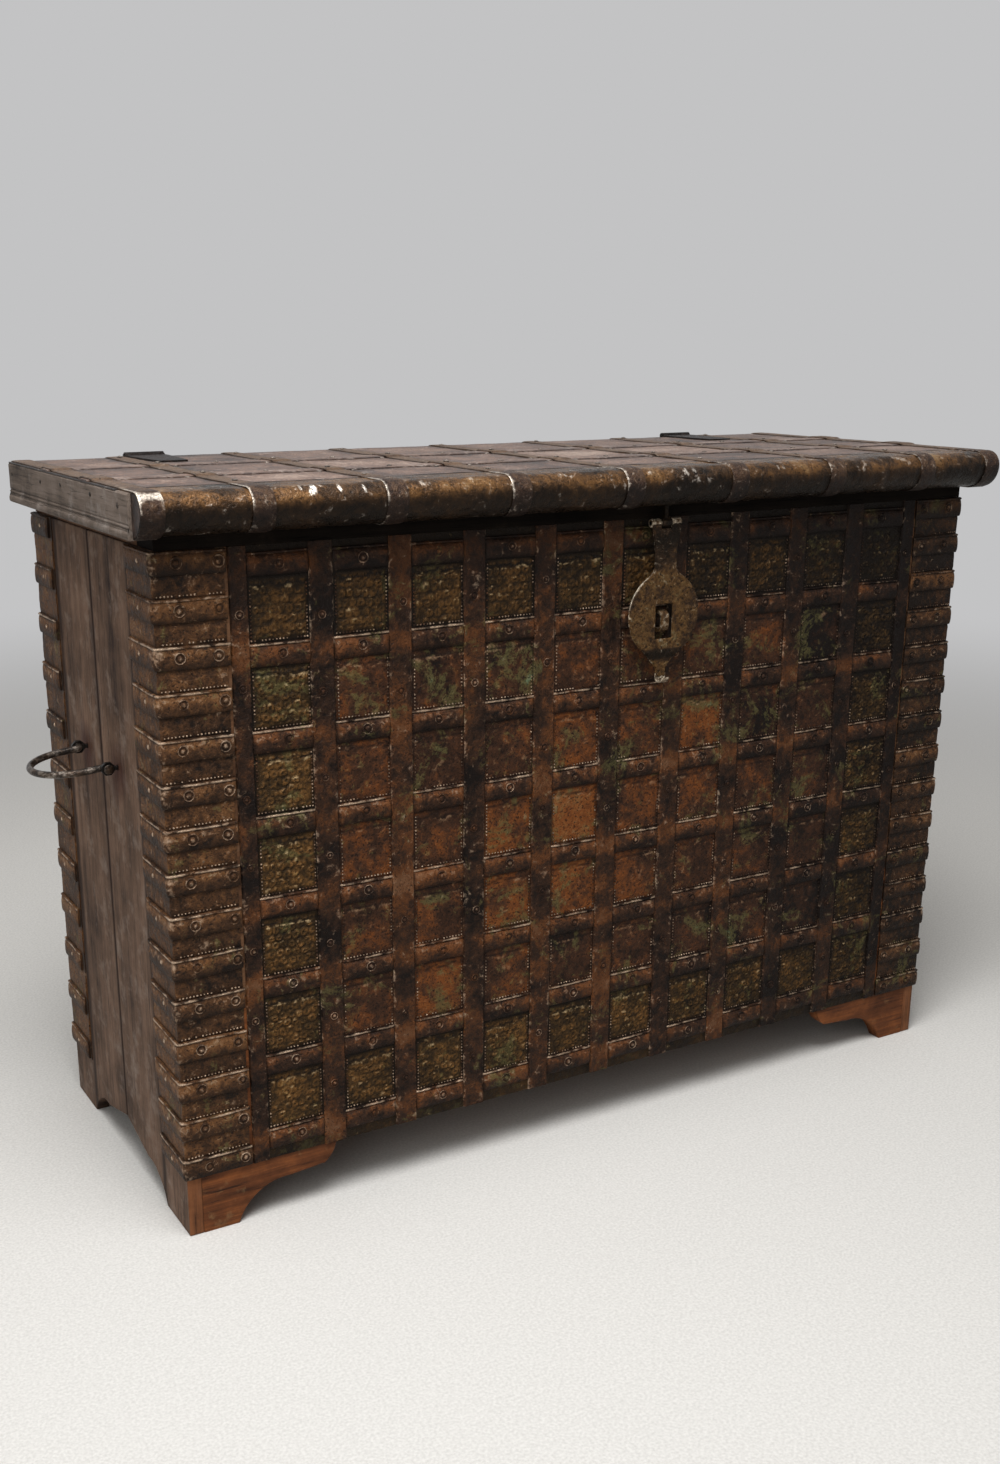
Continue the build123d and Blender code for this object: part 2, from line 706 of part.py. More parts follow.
with BuildPart() as hasp_curl:
    curl_z = hasp_z - hasp_tail_end_drop
    curl_y = hasp_back_y - hasp_thickness - hasp_curl_radius
    with BuildSketch(Plane.YZ.offset(hasp_place - hasp_tail_width / 2)):
        with BuildLine():
            CenterArc((curl_y, curl_z), hasp_curl_radius, 180, 180)
            CenterArc((curl_y, curl_z), hasp_curl_radius + hasp_thickness, 180, 180)
            Line((curl_y + hasp_curl_radius, curl_z), (curl_y + hasp_curl_radius + hasp_thickness, curl_z))
            Line((curl_y - hasp_curl_radius, curl_z), (curl_y - hasp_curl_radius - hasp_thickness, curl_z))
        make_face()
    extrude(amount=hasp_tail_width)
with BuildPart() as hasp_plate:
    with BuildSketch(facing_front(hasp_back_y)) as outline:
        with Locations((hasp_place, disc_z)):
            Circle(hasp_disc_radius)
        tail_half = hasp_tail_width / 2
        root_half = hasp_tail_root / 2
        with BuildLine():
            root_z = disc_z - math.sqrt(hasp_disc_radius ** 2 - root_half ** 2)
            tail_z = hasp_z - hasp_tail_drop
            end_z = hasp_z - hasp_tail_end_drop
            Polyline((hasp_place - root_half, root_z), (hasp_place - tail_half, tail_z),
                     (hasp_place - tail_half, end_z), (hasp_place + tail_half, end_z),
                     (hasp_place + tail_half, tail_z), (hasp_place + root_half, root_z), close=True)
        make_face()
        with BuildLine():
            neck_z = hasp_z - hasp_neck_length
            Polyline((hasp_place - ear_half, hasp_z), (hasp_place - ear_half, ear_root_z),
                     (hasp_place - neck_half_width, neck_z), (hasp_place - neck_half_width, disc_z),
                     (hasp_place + neck_half_width, disc_z), (hasp_place + neck_half_width, neck_z),
                     (hasp_place + ear_half, ear_root_z), (hasp_place + ear_half, hasp_z), close=True)
        make_face()
        corners = outline.vertices().filter_by(
            lambda v: v.Z > disc_z and math.isclose(abs(v.X - hasp_place), neck_half_width)
            and not math.isclose(v.Z, neck_z))
        fillet(corners, radius=hasp_neck_fillet)
        with Locations((hasp_place, hasp_z)):
            Rectangle(2 * ear_inner, 2 * (hasp_z - ear_root_z), mode=Mode.SUBTRACT)
        with Locations((hasp_place, hasp_z - hasp_slot_drop)):
            Rectangle(hasp_slot_width, hasp_slot_height, mode=Mode.SUBTRACT)
    extrude(amount=hasp_thickness)
    add(along_hasp_pin((-ear_half, -ear_inner), hasp_knuckle_radius, 0))
    add(along_hasp_pin((ear_inner, ear_half), hasp_knuckle_radius, 0))
    add(hasp_curl.part)
    add(along_hasp_pin((-ear_half, ear_half), hasp_pin_radius + fixed_fit, 0), mode=Mode.SUBTRACT)
save(hasp_plate.part, "hasp_plate")
save(along_hasp_pin((-ear_half, ear_half), hasp_pin_radius, 0), "hasp_pin")
with BuildPart() as hasp_eye:
    with BuildSketch(Plane.XY.offset(hasp_z)):
        with Locations((hasp_place, hasp_y)):
            Rectangle(eye_shank_square, eye_shank_square)
    extrude(amount=roll_core_bottom + eye_shank_depth - hasp_z)
    with BuildSketch(Plane.YZ.offset(hasp_place - eye_width / 2)):
        with Locations((hasp_y, hasp_z)):
            RegularPolygon(eye_radius, eye_sides, rotation=180 / eye_sides)
    extrude(amount=eye_width)
    add(along_hasp_pin((-eye_width / 2, eye_width / 2), hasp_pin_radius + running_fit, 0),
        mode=Mode.SUBTRACT)
save(hasp_eye.part, "hasp_eye")

# Lock staple: a band bent to an upright bow, its legs clinched inside the front board
with BuildPart() as lock_staple:
    staple_top = staple_bottom + staple_height
    nose_y = front_y - staple_stand
    inner_nose_y = nose_y + staple_wire
    inner_corner = staple_corner - staple_wire
    with BuildSketch(Plane.YZ.offset(hasp_place - staple_width / 2)):
        with BuildLine():
            FilletPolyline((front_inner_y, staple_bottom), (nose_y, staple_bottom), (nose_y, staple_top),
                           (front_inner_y, staple_top), radius=staple_corner)
            FilletPolyline((front_inner_y, staple_bottom + staple_wire),
                           (inner_nose_y, staple_bottom + staple_wire),
                           (inner_nose_y, staple_top - staple_wire),
                           (front_inner_y, staple_top - staple_wire), radius=inner_corner)
            Line((front_inner_y, staple_bottom), (front_inner_y, staple_bottom + staple_wire))
            Line((front_inner_y, staple_top), (front_inner_y, staple_top - staple_wire))
        make_face()
        clinch = staple_wire + staple_clinch
        with Locations((front_inner_y + staple_wire / 2, staple_top - staple_wire + clinch / 2),
                       (front_inner_y + staple_wire / 2, staple_bottom + staple_wire - clinch / 2)):
            Rectangle(staple_wire, clinch)
    extrude(amount=staple_width)
save(lock_staple.part, "lock_staple")

# Bail handles: a forged rod with six flats, both its ends turned outwards through an eye
pivot = Vector(-(wood_half + handle_pivot_stand), middle_y, handle_height)
droop = math.radians(handle_droop)
outward = Vector(-math.cos(droop), 0, -math.sin(droop))
half_flat_turn = 180 / handle_rod_sides
handle_plane = Plane(origin=pivot, x_dir=outward, z_dir=(-outward.Z, 0, outward.X))
rod_end = handle_eye_half_span + handle_eye_width / 2 + handle_head_gap


def hammered_arc(centre, radius, start, sweep_angle, chords):
    """The corners of an arc that is hammered out in short straight chords."""
    turns = [math.radians(start + sweep_angle * number / chords) for number in range(chords + 1)]
    return [(centre[0] + radius * math.cos(turn), centre[1] + radius * math.sin(turn)) for turn in turns]


bend_centre = (handle_bend, -handle_half_span - handle_bend)
first_bend = hammered_arc(bend_centre, handle_bend, 180, -90, handle_bend_chords)
bow = hammered_arc((handle_arm, 0), handle_half_span, -90, 180, handle_bow_chords)
last_bend = [(out, -along) for out, along in reversed(first_bend)]
with BuildPart() as left_handle:
    with BuildLine(handle_plane) as route:
        Polyline((0, -rod_end), *first_bend, *bow, *last_bend, (0, rod_end))
    with BuildSketch(Plane(origin=route.line @ 0, x_dir=handle_plane.x_dir, z_dir=route.line % 0)):
        RegularPolygon(handle_rod_radius, handle_rod_sides, rotation=half_flat_turn)
    sweep(path=route.line, transition=Transition.RIGHT)
    for end in (-1, 1):
        with BuildSketch(Plane(origin=(pivot.X, pivot.Y + end * rod_end, pivot.Z), z_dir=(0, end, 0))):
            RegularPolygon(handle_head_radius, handle_rod_sides, rotation=half_flat_turn)
        extrude(amount=handle_head_length)
save(left_handle.part, "left_handle")
save(mirrored(left_handle.part), "right_handle")

# Eyes of the handles: a forged ring on a square shank, driven through the board and clinched inside
eye_inner = handle_rod_radius + handle_eye_fit
eye_outer = eye_inner + handle_eye_wall
eye_flat_turn = 180 / handle_eye_sides
shank_high_x = -inner_half + handle_clinch_thickness
with BuildPart() as left_handle_eyes:
    for side in (-1, 1):
        eye_y = middle_y + side * handle_eye_half_span
        with BuildSketch(facing_front(eye_y - handle_eye_width / 2)):
            with Locations((pivot.X, pivot.Z)):
                RegularPolygon(eye_outer, handle_eye_sides, rotation=eye_flat_turn)
            with Locations(((pivot.X + shank_high_x) / 2, pivot.Z)):
                Rectangle(shank_high_x - pivot.X, handle_eye_width)
            with Locations((shank_high_x - handle_clinch_thickness / 2, pivot.Z)):
                Rectangle(handle_clinch_thickness, 2 * handle_clinch)
            with Locations((pivot.X, pivot.Z)):
                RegularPolygon(eye_inner, handle_eye_sides, major_radius=False, rotation=eye_flat_turn,
                               mode=Mode.SUBTRACT)
        extrude(amount=-handle_eye_width)
save(left_handle_eyes.part, "left_handle_eyes")
save(mirrored(left_handle_eyes.part), "right_handle_eyes")
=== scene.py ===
import logging
import math
from dataclasses import dataclass, field
from enum import Enum

import bpy
import numpy as np
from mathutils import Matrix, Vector

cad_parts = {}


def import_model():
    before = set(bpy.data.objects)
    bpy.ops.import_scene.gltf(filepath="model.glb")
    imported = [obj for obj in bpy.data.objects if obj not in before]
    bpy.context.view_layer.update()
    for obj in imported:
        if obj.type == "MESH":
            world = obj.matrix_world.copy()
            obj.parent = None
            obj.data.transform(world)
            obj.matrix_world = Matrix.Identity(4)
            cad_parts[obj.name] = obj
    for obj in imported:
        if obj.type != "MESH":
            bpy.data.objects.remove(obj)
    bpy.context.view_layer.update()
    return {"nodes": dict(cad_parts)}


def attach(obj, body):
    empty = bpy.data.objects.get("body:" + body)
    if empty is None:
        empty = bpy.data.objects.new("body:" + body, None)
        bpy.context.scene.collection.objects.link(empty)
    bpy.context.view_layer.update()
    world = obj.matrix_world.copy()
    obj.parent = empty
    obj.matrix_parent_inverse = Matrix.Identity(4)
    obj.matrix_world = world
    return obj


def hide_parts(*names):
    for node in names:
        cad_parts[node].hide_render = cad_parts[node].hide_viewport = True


log = logging.getLogger("dowry_chest")
Array = np.ndarray
MM = 0.001                      # every size below is in millimetres, Blender's unit is the metre
X_AXIS, Y_AXIS, Z_AXIS = np.eye(3)
WAVES = 14                      # sine waves in one ripple
SAME_POINT = 0.01               # mm, corners of a CAD node closer than this are one
SHARP = 35.0                    # degrees, a CAD node's edges sharper than this get a bevel


def ripple(points: Array, size: float, seed: int) -> Array:
    """Smooth unevenness: a sum of sine waves in seeded directions, scaled to stay near -1 to 1.

    Args:
        points: places in mm, shape (..., 3).
        size: mean wave length in mm.
        seed: picks the directions, lengths and phases.

    Returns:
        One value per place.
    """
    rng = np.random.default_rng(seed)
    direction = rng.normal(size=(WAVES, 3))
    direction /= np.linalg.norm(direction, axis=1, keepdims=True)
    length = size * rng.uniform(0.6, 1.7, (WAVES, 1))
    phase = rng.uniform(0, 2 * np.pi, WAVES)
    angle = points @ (direction * (2 * np.pi / length)).T + phase
    return np.sin(angle).sum(-1) / math.sqrt(WAVES * 2)


def step(value: Array, low: float, high: float) -> Array:
    """Smooth step: 0 below low, 1 above high, and 3t^2 - 2t^3 between."""
    t = np.clip((value - low) / (high - low), 0, 1)
    return t * t * (3 - 2 * t)


def line(start: tuple, end: tuple, count: int) -> Array:
    """Evenly spaced points from start up to, but without, end: start + t (end - start)."""
    start, end = np.asarray(start, float), np.asarray(end, float)
    return start + np.arange(count)[:, None] / count * (end - start)


def arc(centre: tuple, radius: float, start: float, end: float, count: int) -> Array:
    """Points of a circle in a plane from angle start up to, but without, end, in degrees."""
    angle = np.radians(start + (end - start) * np.arange(count) / count)
    return np.stack([centre[0] + radius * np.cos(angle), centre[1] + radius * np.sin(angle)], 1)


def full_turn(count: int) -> Array:
    """Evenly spaced angles once round, in radians, without the last one."""
    return np.linspace(0, 2 * np.pi, count, endpoint=False)


def bell(value: Array, width: float) -> Array:
    """A bell curve: exp(-(value / width)^2)."""
    return np.exp(-(value / width) ** 2)


def grid_quads(rows: int, columns: int, wrap_rows: bool = False, wrap_columns: bool = False) -> Array:
    """Corner numbers of every quad of a grid of points, row after row.

    Args:
        rows: points along the first axis.
        columns: points along the second axis.
        wrap_rows: whether the last row joins the first one.
        wrap_columns: whether the last column joins the first one.

    Returns:
        One row of four corner numbers per quad.
    """
    i = np.arange(rows if wrap_rows else rows - 1)[:, None]
    j = np.arange(columns if wrap_columns else columns - 1)[None]
    after, beside = (i + 1) % rows * columns, (j + 1) % columns
    corners = [i * columns + j, i * columns + beside, after + beside, after + j]
    return np.stack(np.broadcast_arrays(*corners), -1).reshape(-1, 4)


def rim(rows: int, columns: int) -> Array:
    """Numbers of a grid's outermost points, once round in the direction of its quads."""
    grid = np.arange(rows * columns).reshape(rows, columns)
    return np.concatenate([grid[0, :-1], grid[:-1, -1], grid[-1, :0:-1], grid[:0:-1, 0]])


class Gather:
    """The mesh of one piece while closed shells are gathered into it, in millimetres."""

    def __init__(self) -> None:
        """Starts with no shell."""
        self.points: list[Array] = []
        self.faces: list[Array] = []
        self.finish: list[Array] = []
        self.count = 0

    def shell(self, points: Array, faces: list[Array], wear: Array | float = 0.0,
              grime: Array | float = 0.0, tone: Array | float = 0.5) -> None:
        """Adds one closed shell, turned so that its volume is positive.

        Args:
            points: its points, shape (n, 3).
            faces: arrays of corner numbers, three or four to a face.
            wear: how far each point is worn to bare metal or pale wood, painted highlights and glints included, 0 to 1.
            grime: how much soiling lies at each point, painted shade included, 0 to 1.
            tone: how bright the rust or wood is there, painted light and shade included in places, 0 to 1.
        """
        volume = 0.0
        for group in faces:
            first = points[group[:, 0]]
            for k in range(1, group.shape[1] - 1):
                volume += np.einsum("ij,ij->", first, np.cross(points[group[:, k]], points[group[:, k + 1]]))
        self.faces += [(group if volume > 0 else group[:, ::-1]) + self.count for group in faces]
        self.points.append(points)
        values = [np.broadcast_to(np.asarray(v, float), len(points)) for v in (wear, grime, tone)]
        self.finish.append(np.stack(values, 1))
        self.count += len(points)

    def slab(self, grid: Array, behind: Array, **finish: Array | float) -> None:
        """Adds a flat piece: a grid of points for its face, its rim carried back, a fan to close it.

        Args:
            grid: the face's points, shape (rows, columns, 3).
            behind: from a point of the rim to its partner on the back.
            **finish: wear, grime and tone, each a number or a grid.
        """
        rows, columns = grid.shape[:2]
        loop = rim(rows, columns)
        flat = grid.reshape(-1, 3)
        back = flat[loop] + behind
        points = np.concatenate([flat, back, back.mean(0, keepdims=True)])
        here = np.arange(len(loop)) + len(flat)
        there = np.roll(here, -1)
        sides = np.stack([np.roll(loop, -1), loop, here, there], 1)
        fan = np.stack([there, here, np.full_like(here, len(points) - 1)], 1)
        own = {key: pad(value, len(flat), loop) for key, value in finish.items()}
        self.shell(points, [grid_quads(rows, columns), sides, fan], **own)

    def sheet(self, outer: Array, inner: Array, **finish: Array | float) -> None:
        """Adds a bent sheet: two grids of points, joined round their rims.

        Args:
            outer: points of its outer face, shape (rows, columns, 3).
            inner: points of its inner face in the same order.
            **finish: wear, grime and tone, each a number or a grid.
        """
        rows, columns = outer.shape[:2]
        loop = rim(rows, columns)
        total = rows * columns
        quads = grid_quads(rows, columns)
        after = np.roll(loop, -1)
        sides = np.stack([after, loop, loop + total, after + total], 1)
        points = np.concatenate([outer.reshape(-1, 3), inner.reshape(-1, 3)])
        own = {key: np.tile(np.broadcast_to(value, outer.shape[:2]).ravel(), 2) for key, value in finish.items()}
        self.shell(points, [quads, quads[:, ::-1] + total, sides], **own)

    def bar(self, rings: Array, looped: bool = False, **finish: Array | float) -> None:
        """Adds a bar: closed sections along a path.

        Args:
            rings: the sections' points, shape (sections, points, 3).
            looped: whether the last section joins the first one; else both get a fan as a cap.
            **finish: wear, grime and tone, each a number or a grid.
        """
        count, around = rings.shape[:2]
        flat = rings.reshape(-1, 3)
        own = {key: np.broadcast_to(value, rings.shape[:2]).ravel() for key, value in finish.items()}
        quads = grid_quads(count, around, looped, True)
        if looped:
            self.shell(flat, [quads], **own)
            return
        here = np.arange(around)
        there = (here + 1) % around
        last = (count - 1) * around
        middles = np.full_like(here, len(flat))
        first_cap = np.stack([there, here, middles], 1)
        last_cap = np.stack([here + last, there + last, middles + 1], 1)
        points = np.concatenate([flat, rings[0].mean(0, keepdims=True), rings[-1].mean(0, keepdims=True)])
        own = {key: np.concatenate([value, value[:1], value[-1:]]) for key, value in own.items()}
        self.shell(points, [quads, first_cap, last_cap], **own)

    def studs(self, places: Array, out: Array, profile: Array, sides: int, spread: Array | float = 1.0,
              **finish: Array | float) -> None:
        """Adds round studs: a turned profile set at each place, its axis along out.

        Args:
            places: where each stud sits, shape (n, 3).
            out: each stud's axis, shape (3,) or (n, 3).
            profile: rows of radius and height from the foot up, in mm. The top closes in a fan.
            sides: how many sides a stud has round its axis.
            spread: scale of each stud, one number or one per stud.
            **finish: wear, grime and tone, each a number, one per profile row and the top, or those per stud.
        """
        count = len(places)
        axis = np.broadcast_to(np.asarray(out, float), (count, 3))
        helper = np.where(np.abs(axis[:, 2:]) < 0.9, [0.0, 0.0, 1.0], [1.0, 0.0, 0.0])
        across = np.cross(helper, axis)
        across /= np.linalg.norm(across, axis=1, keepdims=True)
        along = np.cross(axis, across)
        angle = 2 * np.pi * np.arange(sides) / sides
        scale = np.broadcast_to(np.asarray(spread, float), count)[:, None, None, None]
        turn = np.cos(angle)[None, :, None] * across[:, None] + np.sin(angle)[None, :, None] * along[:, None]
        rings = profile[None, :, None, :1] * turn[:, None] + profile[None, :, None, 1:] * axis[:, None, None]
        rings = (rings * scale).reshape(count, -1, 3)
        foot = profile[0, 1] * axis * scale[:, 0, 0]
        top = (profile[-1, 1] + 0.25 * profile[-1, 0]) * axis * scale[:, 0, 0]
        each = np.concatenate([rings, foot[:, None], top[:, None]], 1) + places[:, None]
        size = each.shape[1]
        here = np.arange(sides)
        there = (here + 1) % sides
        last = (len(profile) - 1) * sides
        base = np.stack([there, here, np.full(sides, size - 2)], 1)
        tip = np.stack([here + last, there + last, np.full(sides, size - 1)], 1)
        shift = (np.arange(count) * size)[:, None, None]
        groups = [(group[None] + shift).reshape(-1, group.shape[1])
                  for group in (grid_quads(len(profile), sides, False, True), base, tip)]
        own = {}
        for key, value in finish.items():
            value = np.broadcast_to(np.asarray(value, float), (count, len(profile) + 1))
            own[key] = np.concatenate([np.repeat(value[:, :-1], sides, 1), value[:, :1], value[:, -1:]], 1).ravel()
        self.shell(each.reshape(-1, 3), groups, **own)


def pad(value: Array | float, count: int, loop: Array) -> Array:
    """A grid's values, then those of its rim again and their mean, in the order of a slab's points."""
    flat = np.broadcast_to(np.asarray(value, float).ravel() if np.ndim(value) else value, count)
    return np.concatenate([flat, flat[loop], [flat[loop].mean()]])


def carried(path: Array, side: Array, out: Array, section: Array) -> Array:
    """A section carried along a path: path point + first value along side + second value along out.

    Args:
        path: points, shape (n, 3).
        side: direction of the section's first axis, shape (3,) or (n, 3).
        out: direction of its second axis, shape (3,) or (n, 3).
        section: shape (m, 2), or (n, m, 2) where it changes along the path.

    Returns:
        Rings of points, shape (n, m, 3).
    """
    side = np.broadcast_to(side, path.shape)[:, None]
    out = np.broadcast_to(out, path.shape)[:, None]
    return path[:, None] + section[..., :1] * side + section[..., 1:] * out


def ridge(half: float, rise: float, lip: float, foot: float, base: float = 0.0) -> tuple[Array, Array, Array]:
    """A strip's closed section: a half round, a groove, a narrow round lip along its upper edge, a flat foot.

    Half round: base + rise sqrt(1 - |t|^2.2) for t from -1 to 1. Lip: base + lip sqrt(1 - t^2).

    Args:
        half: half the strip's width in mm.
        rise: height of the half round in mm.
        lip: height of the lip in mm.
        foot: height of the flat underside in mm.
        base: height from which both rounds rise, in mm.

    Returns:
        Points (across, height), then how far each belongs to the lip, and how far to the lit upper flank, which gets a
        painted highlight.
    """
    t = np.array([-1, -0.96, -0.85, -0.64, -0.34, 0, 0.34, 0.64, 0.85, 0.96])
    body = np.stack([-1 + 0.86 * (t + 1), base + rise * np.sqrt(1 - np.abs(t) ** 2.2)], 1)
    t = np.array([-0.9, -0.45, 0, 0.45, 1.0])
    edge = np.stack([0.88 + 0.12 * t, base + lip * np.sqrt(1 - t ** 2)], 1)
    section = np.concatenate([body, [[0.735, base + 0.12 * rise]], edge, [[1, foot], [-1, foot]]])
    on_lip = np.concatenate([np.zeros(11), [0.5, 1, 1, 0.8], np.zeros(3)])
    flank = bell(section[:, 0] - 0.35, 0.35) * (on_lip < 0.5)
    flank[-2:] = 0
    return section * [half, 1], on_lip[None], flank[None]


def patchy(points: Array, seed: int) -> Array:
    """Share of a worn edge's shine and of a painted highlight at each point: 0.7 + 0.6 ripple, kept within 0.1 to 1.3.
    """
    return np.clip(0.7 + 0.6 * ripple(points, 17, seed), 0.1, 1.3)


def from_plane(x: Array | float, plane: Array) -> Array:
    """Points in space from their X and their Y and Z, which are the last axis of plane."""
    return np.concatenate([np.broadcast_to(x, plane.shape[:-1])[..., None], plane], -1)


def signed_power(value: Array, power: float) -> Array:
    """The power of a value's size with the value's sign: it squares a circle off to a rounded box."""
    return np.sign(value) * np.abs(value) ** power


def directions(path: Array, up: Array) -> Array:
    """Outward normals of a path that lies square to up: up x tangent, at length one.

    Args:
        path: points, shape (n, 3).
        up: the direction square to the path's plane.

    Returns:
        One direction per point.
    """
    tangent = np.gradient(path, axis=0)
    normal = np.cross(up, tangent)
    return normal / np.linalg.norm(normal, axis=1, keepdims=True)


def linear(colour: str) -> tuple[float, float, float, float]:
    """Turns an sRGB hex colour into Blender's linear one: ((c + 0.055) / 1.055)^2.4, or c / 12.92 near black.

    Args:
        colour: such as "#40281a".

    Returns:
        Red, green, blue and an alpha of 1.
    """
    share = np.array([int(colour[k:k + 2], 16) for k in (1, 3, 5)]) / 255
    value = np.where(share <= 0.04045, share / 12.92, ((share + 0.055) / 1.055) ** 2.4)
    return (*value.tolist(), 1.0)


def node(tree: bpy.types.NodeTree, kind: str, links: dict | None = None, stops: tuple = (),
         **settings: object) -> bpy.types.Node:
    """Adds one node with its settings, and sets or links its inputs.

    Inputs by number: Math and VectorMath 0, 1 and 2 are its operands; MapRange 0 is the value, 1 and 2 the range
    it comes from, 3 and 4 the one it goes to; Mix 0 is the share, 2 and 3 two numbers, 6 and 7 two colours.

    Args:
        tree: the material's or the world's node tree.
        kind: the node's type without its ShaderNode prefix.
        links: input name or number to a value, or to the node or output socket that feeds it.
        stops: positions and sRGB hex colours, for a node that has a colour ramp.
        **settings: the node's own properties.

    Returns:
        The new node.
    """
    made = tree.nodes.new("ShaderNode" + kind)
    for key, value in settings.items():
        setattr(made, key, value)
    for _ in stops[2:]:
        made.color_ramp.elements.new(0.5)
    for number, (position, colour) in enumerate(stops):
        made.color_ramp.elements[number].position = position
        made.color_ramp.elements[number].color = linear(colour)
    for key, value in (links or {}).items():
        if isinstance(value, bpy.types.Node):
            value = value.outputs[0]
        if isinstance(value, bpy.types.NodeSocket):
            tree.links.new(value, made.inputs[key])
        else:
            made.inputs[key].default_value = value
    return made


def new_material(name: str) -> tuple[bpy.types.Material, bpy.types.NodeTree, bpy.types.Node]:
    """Adds a plain node material.

    Args:
        name: the material's name.

    Returns:
        The material, its tree and its shader.
    """
    material = bpy.data.materials.new(name)
    material.use_nodes = True
    tree = material.node_tree
    return material, tree, tree.nodes["Principled BSDF"]


def backdrop_rays(tree: bpy.types.NodeTree) -> bpy.types.Node:
    """Adds the nodes that tell the rays which meet the plain backdrop: the camera's, gloss's and glass's.

    Args:
        tree: the node tree of the floor or the world.

    Returns:
        A node that gives 1 for such a ray and 0 for any other.
    """
    rays = node(tree, "LightPath").outputs
    seen = node(tree, "Math", {0: rays["Is Camera Ray"], 1: rays["Is Glossy Ray"]}, operation="MAXIMUM")
    return node(tree, "Math", {0: seen, 1: rays["Is Transmission Ray"]}, operation="MAXIMUM")


def put(name: str, data: bpy.types.ID, place: tuple = (0, 0, 0), aim: tuple = ()) -> bpy.types.Object:
    """Adds an object to the scene.

    Args:
        name: the object's name.
        data: its mesh, lamp or camera.
        place: where it stands, in metres.
        aim: the direction that it looks along, or nothing for an object that isn't turned.

    Returns:
        The new object.
    """
    made = bpy.data.objects.new(name, data)
    made.location = place
    if aim:
        made.rotation_euler = Vector(aim).to_track_quat("-Z", "Y").to_euler()
    bpy.context.scene.collection.objects.link(made)
    return made


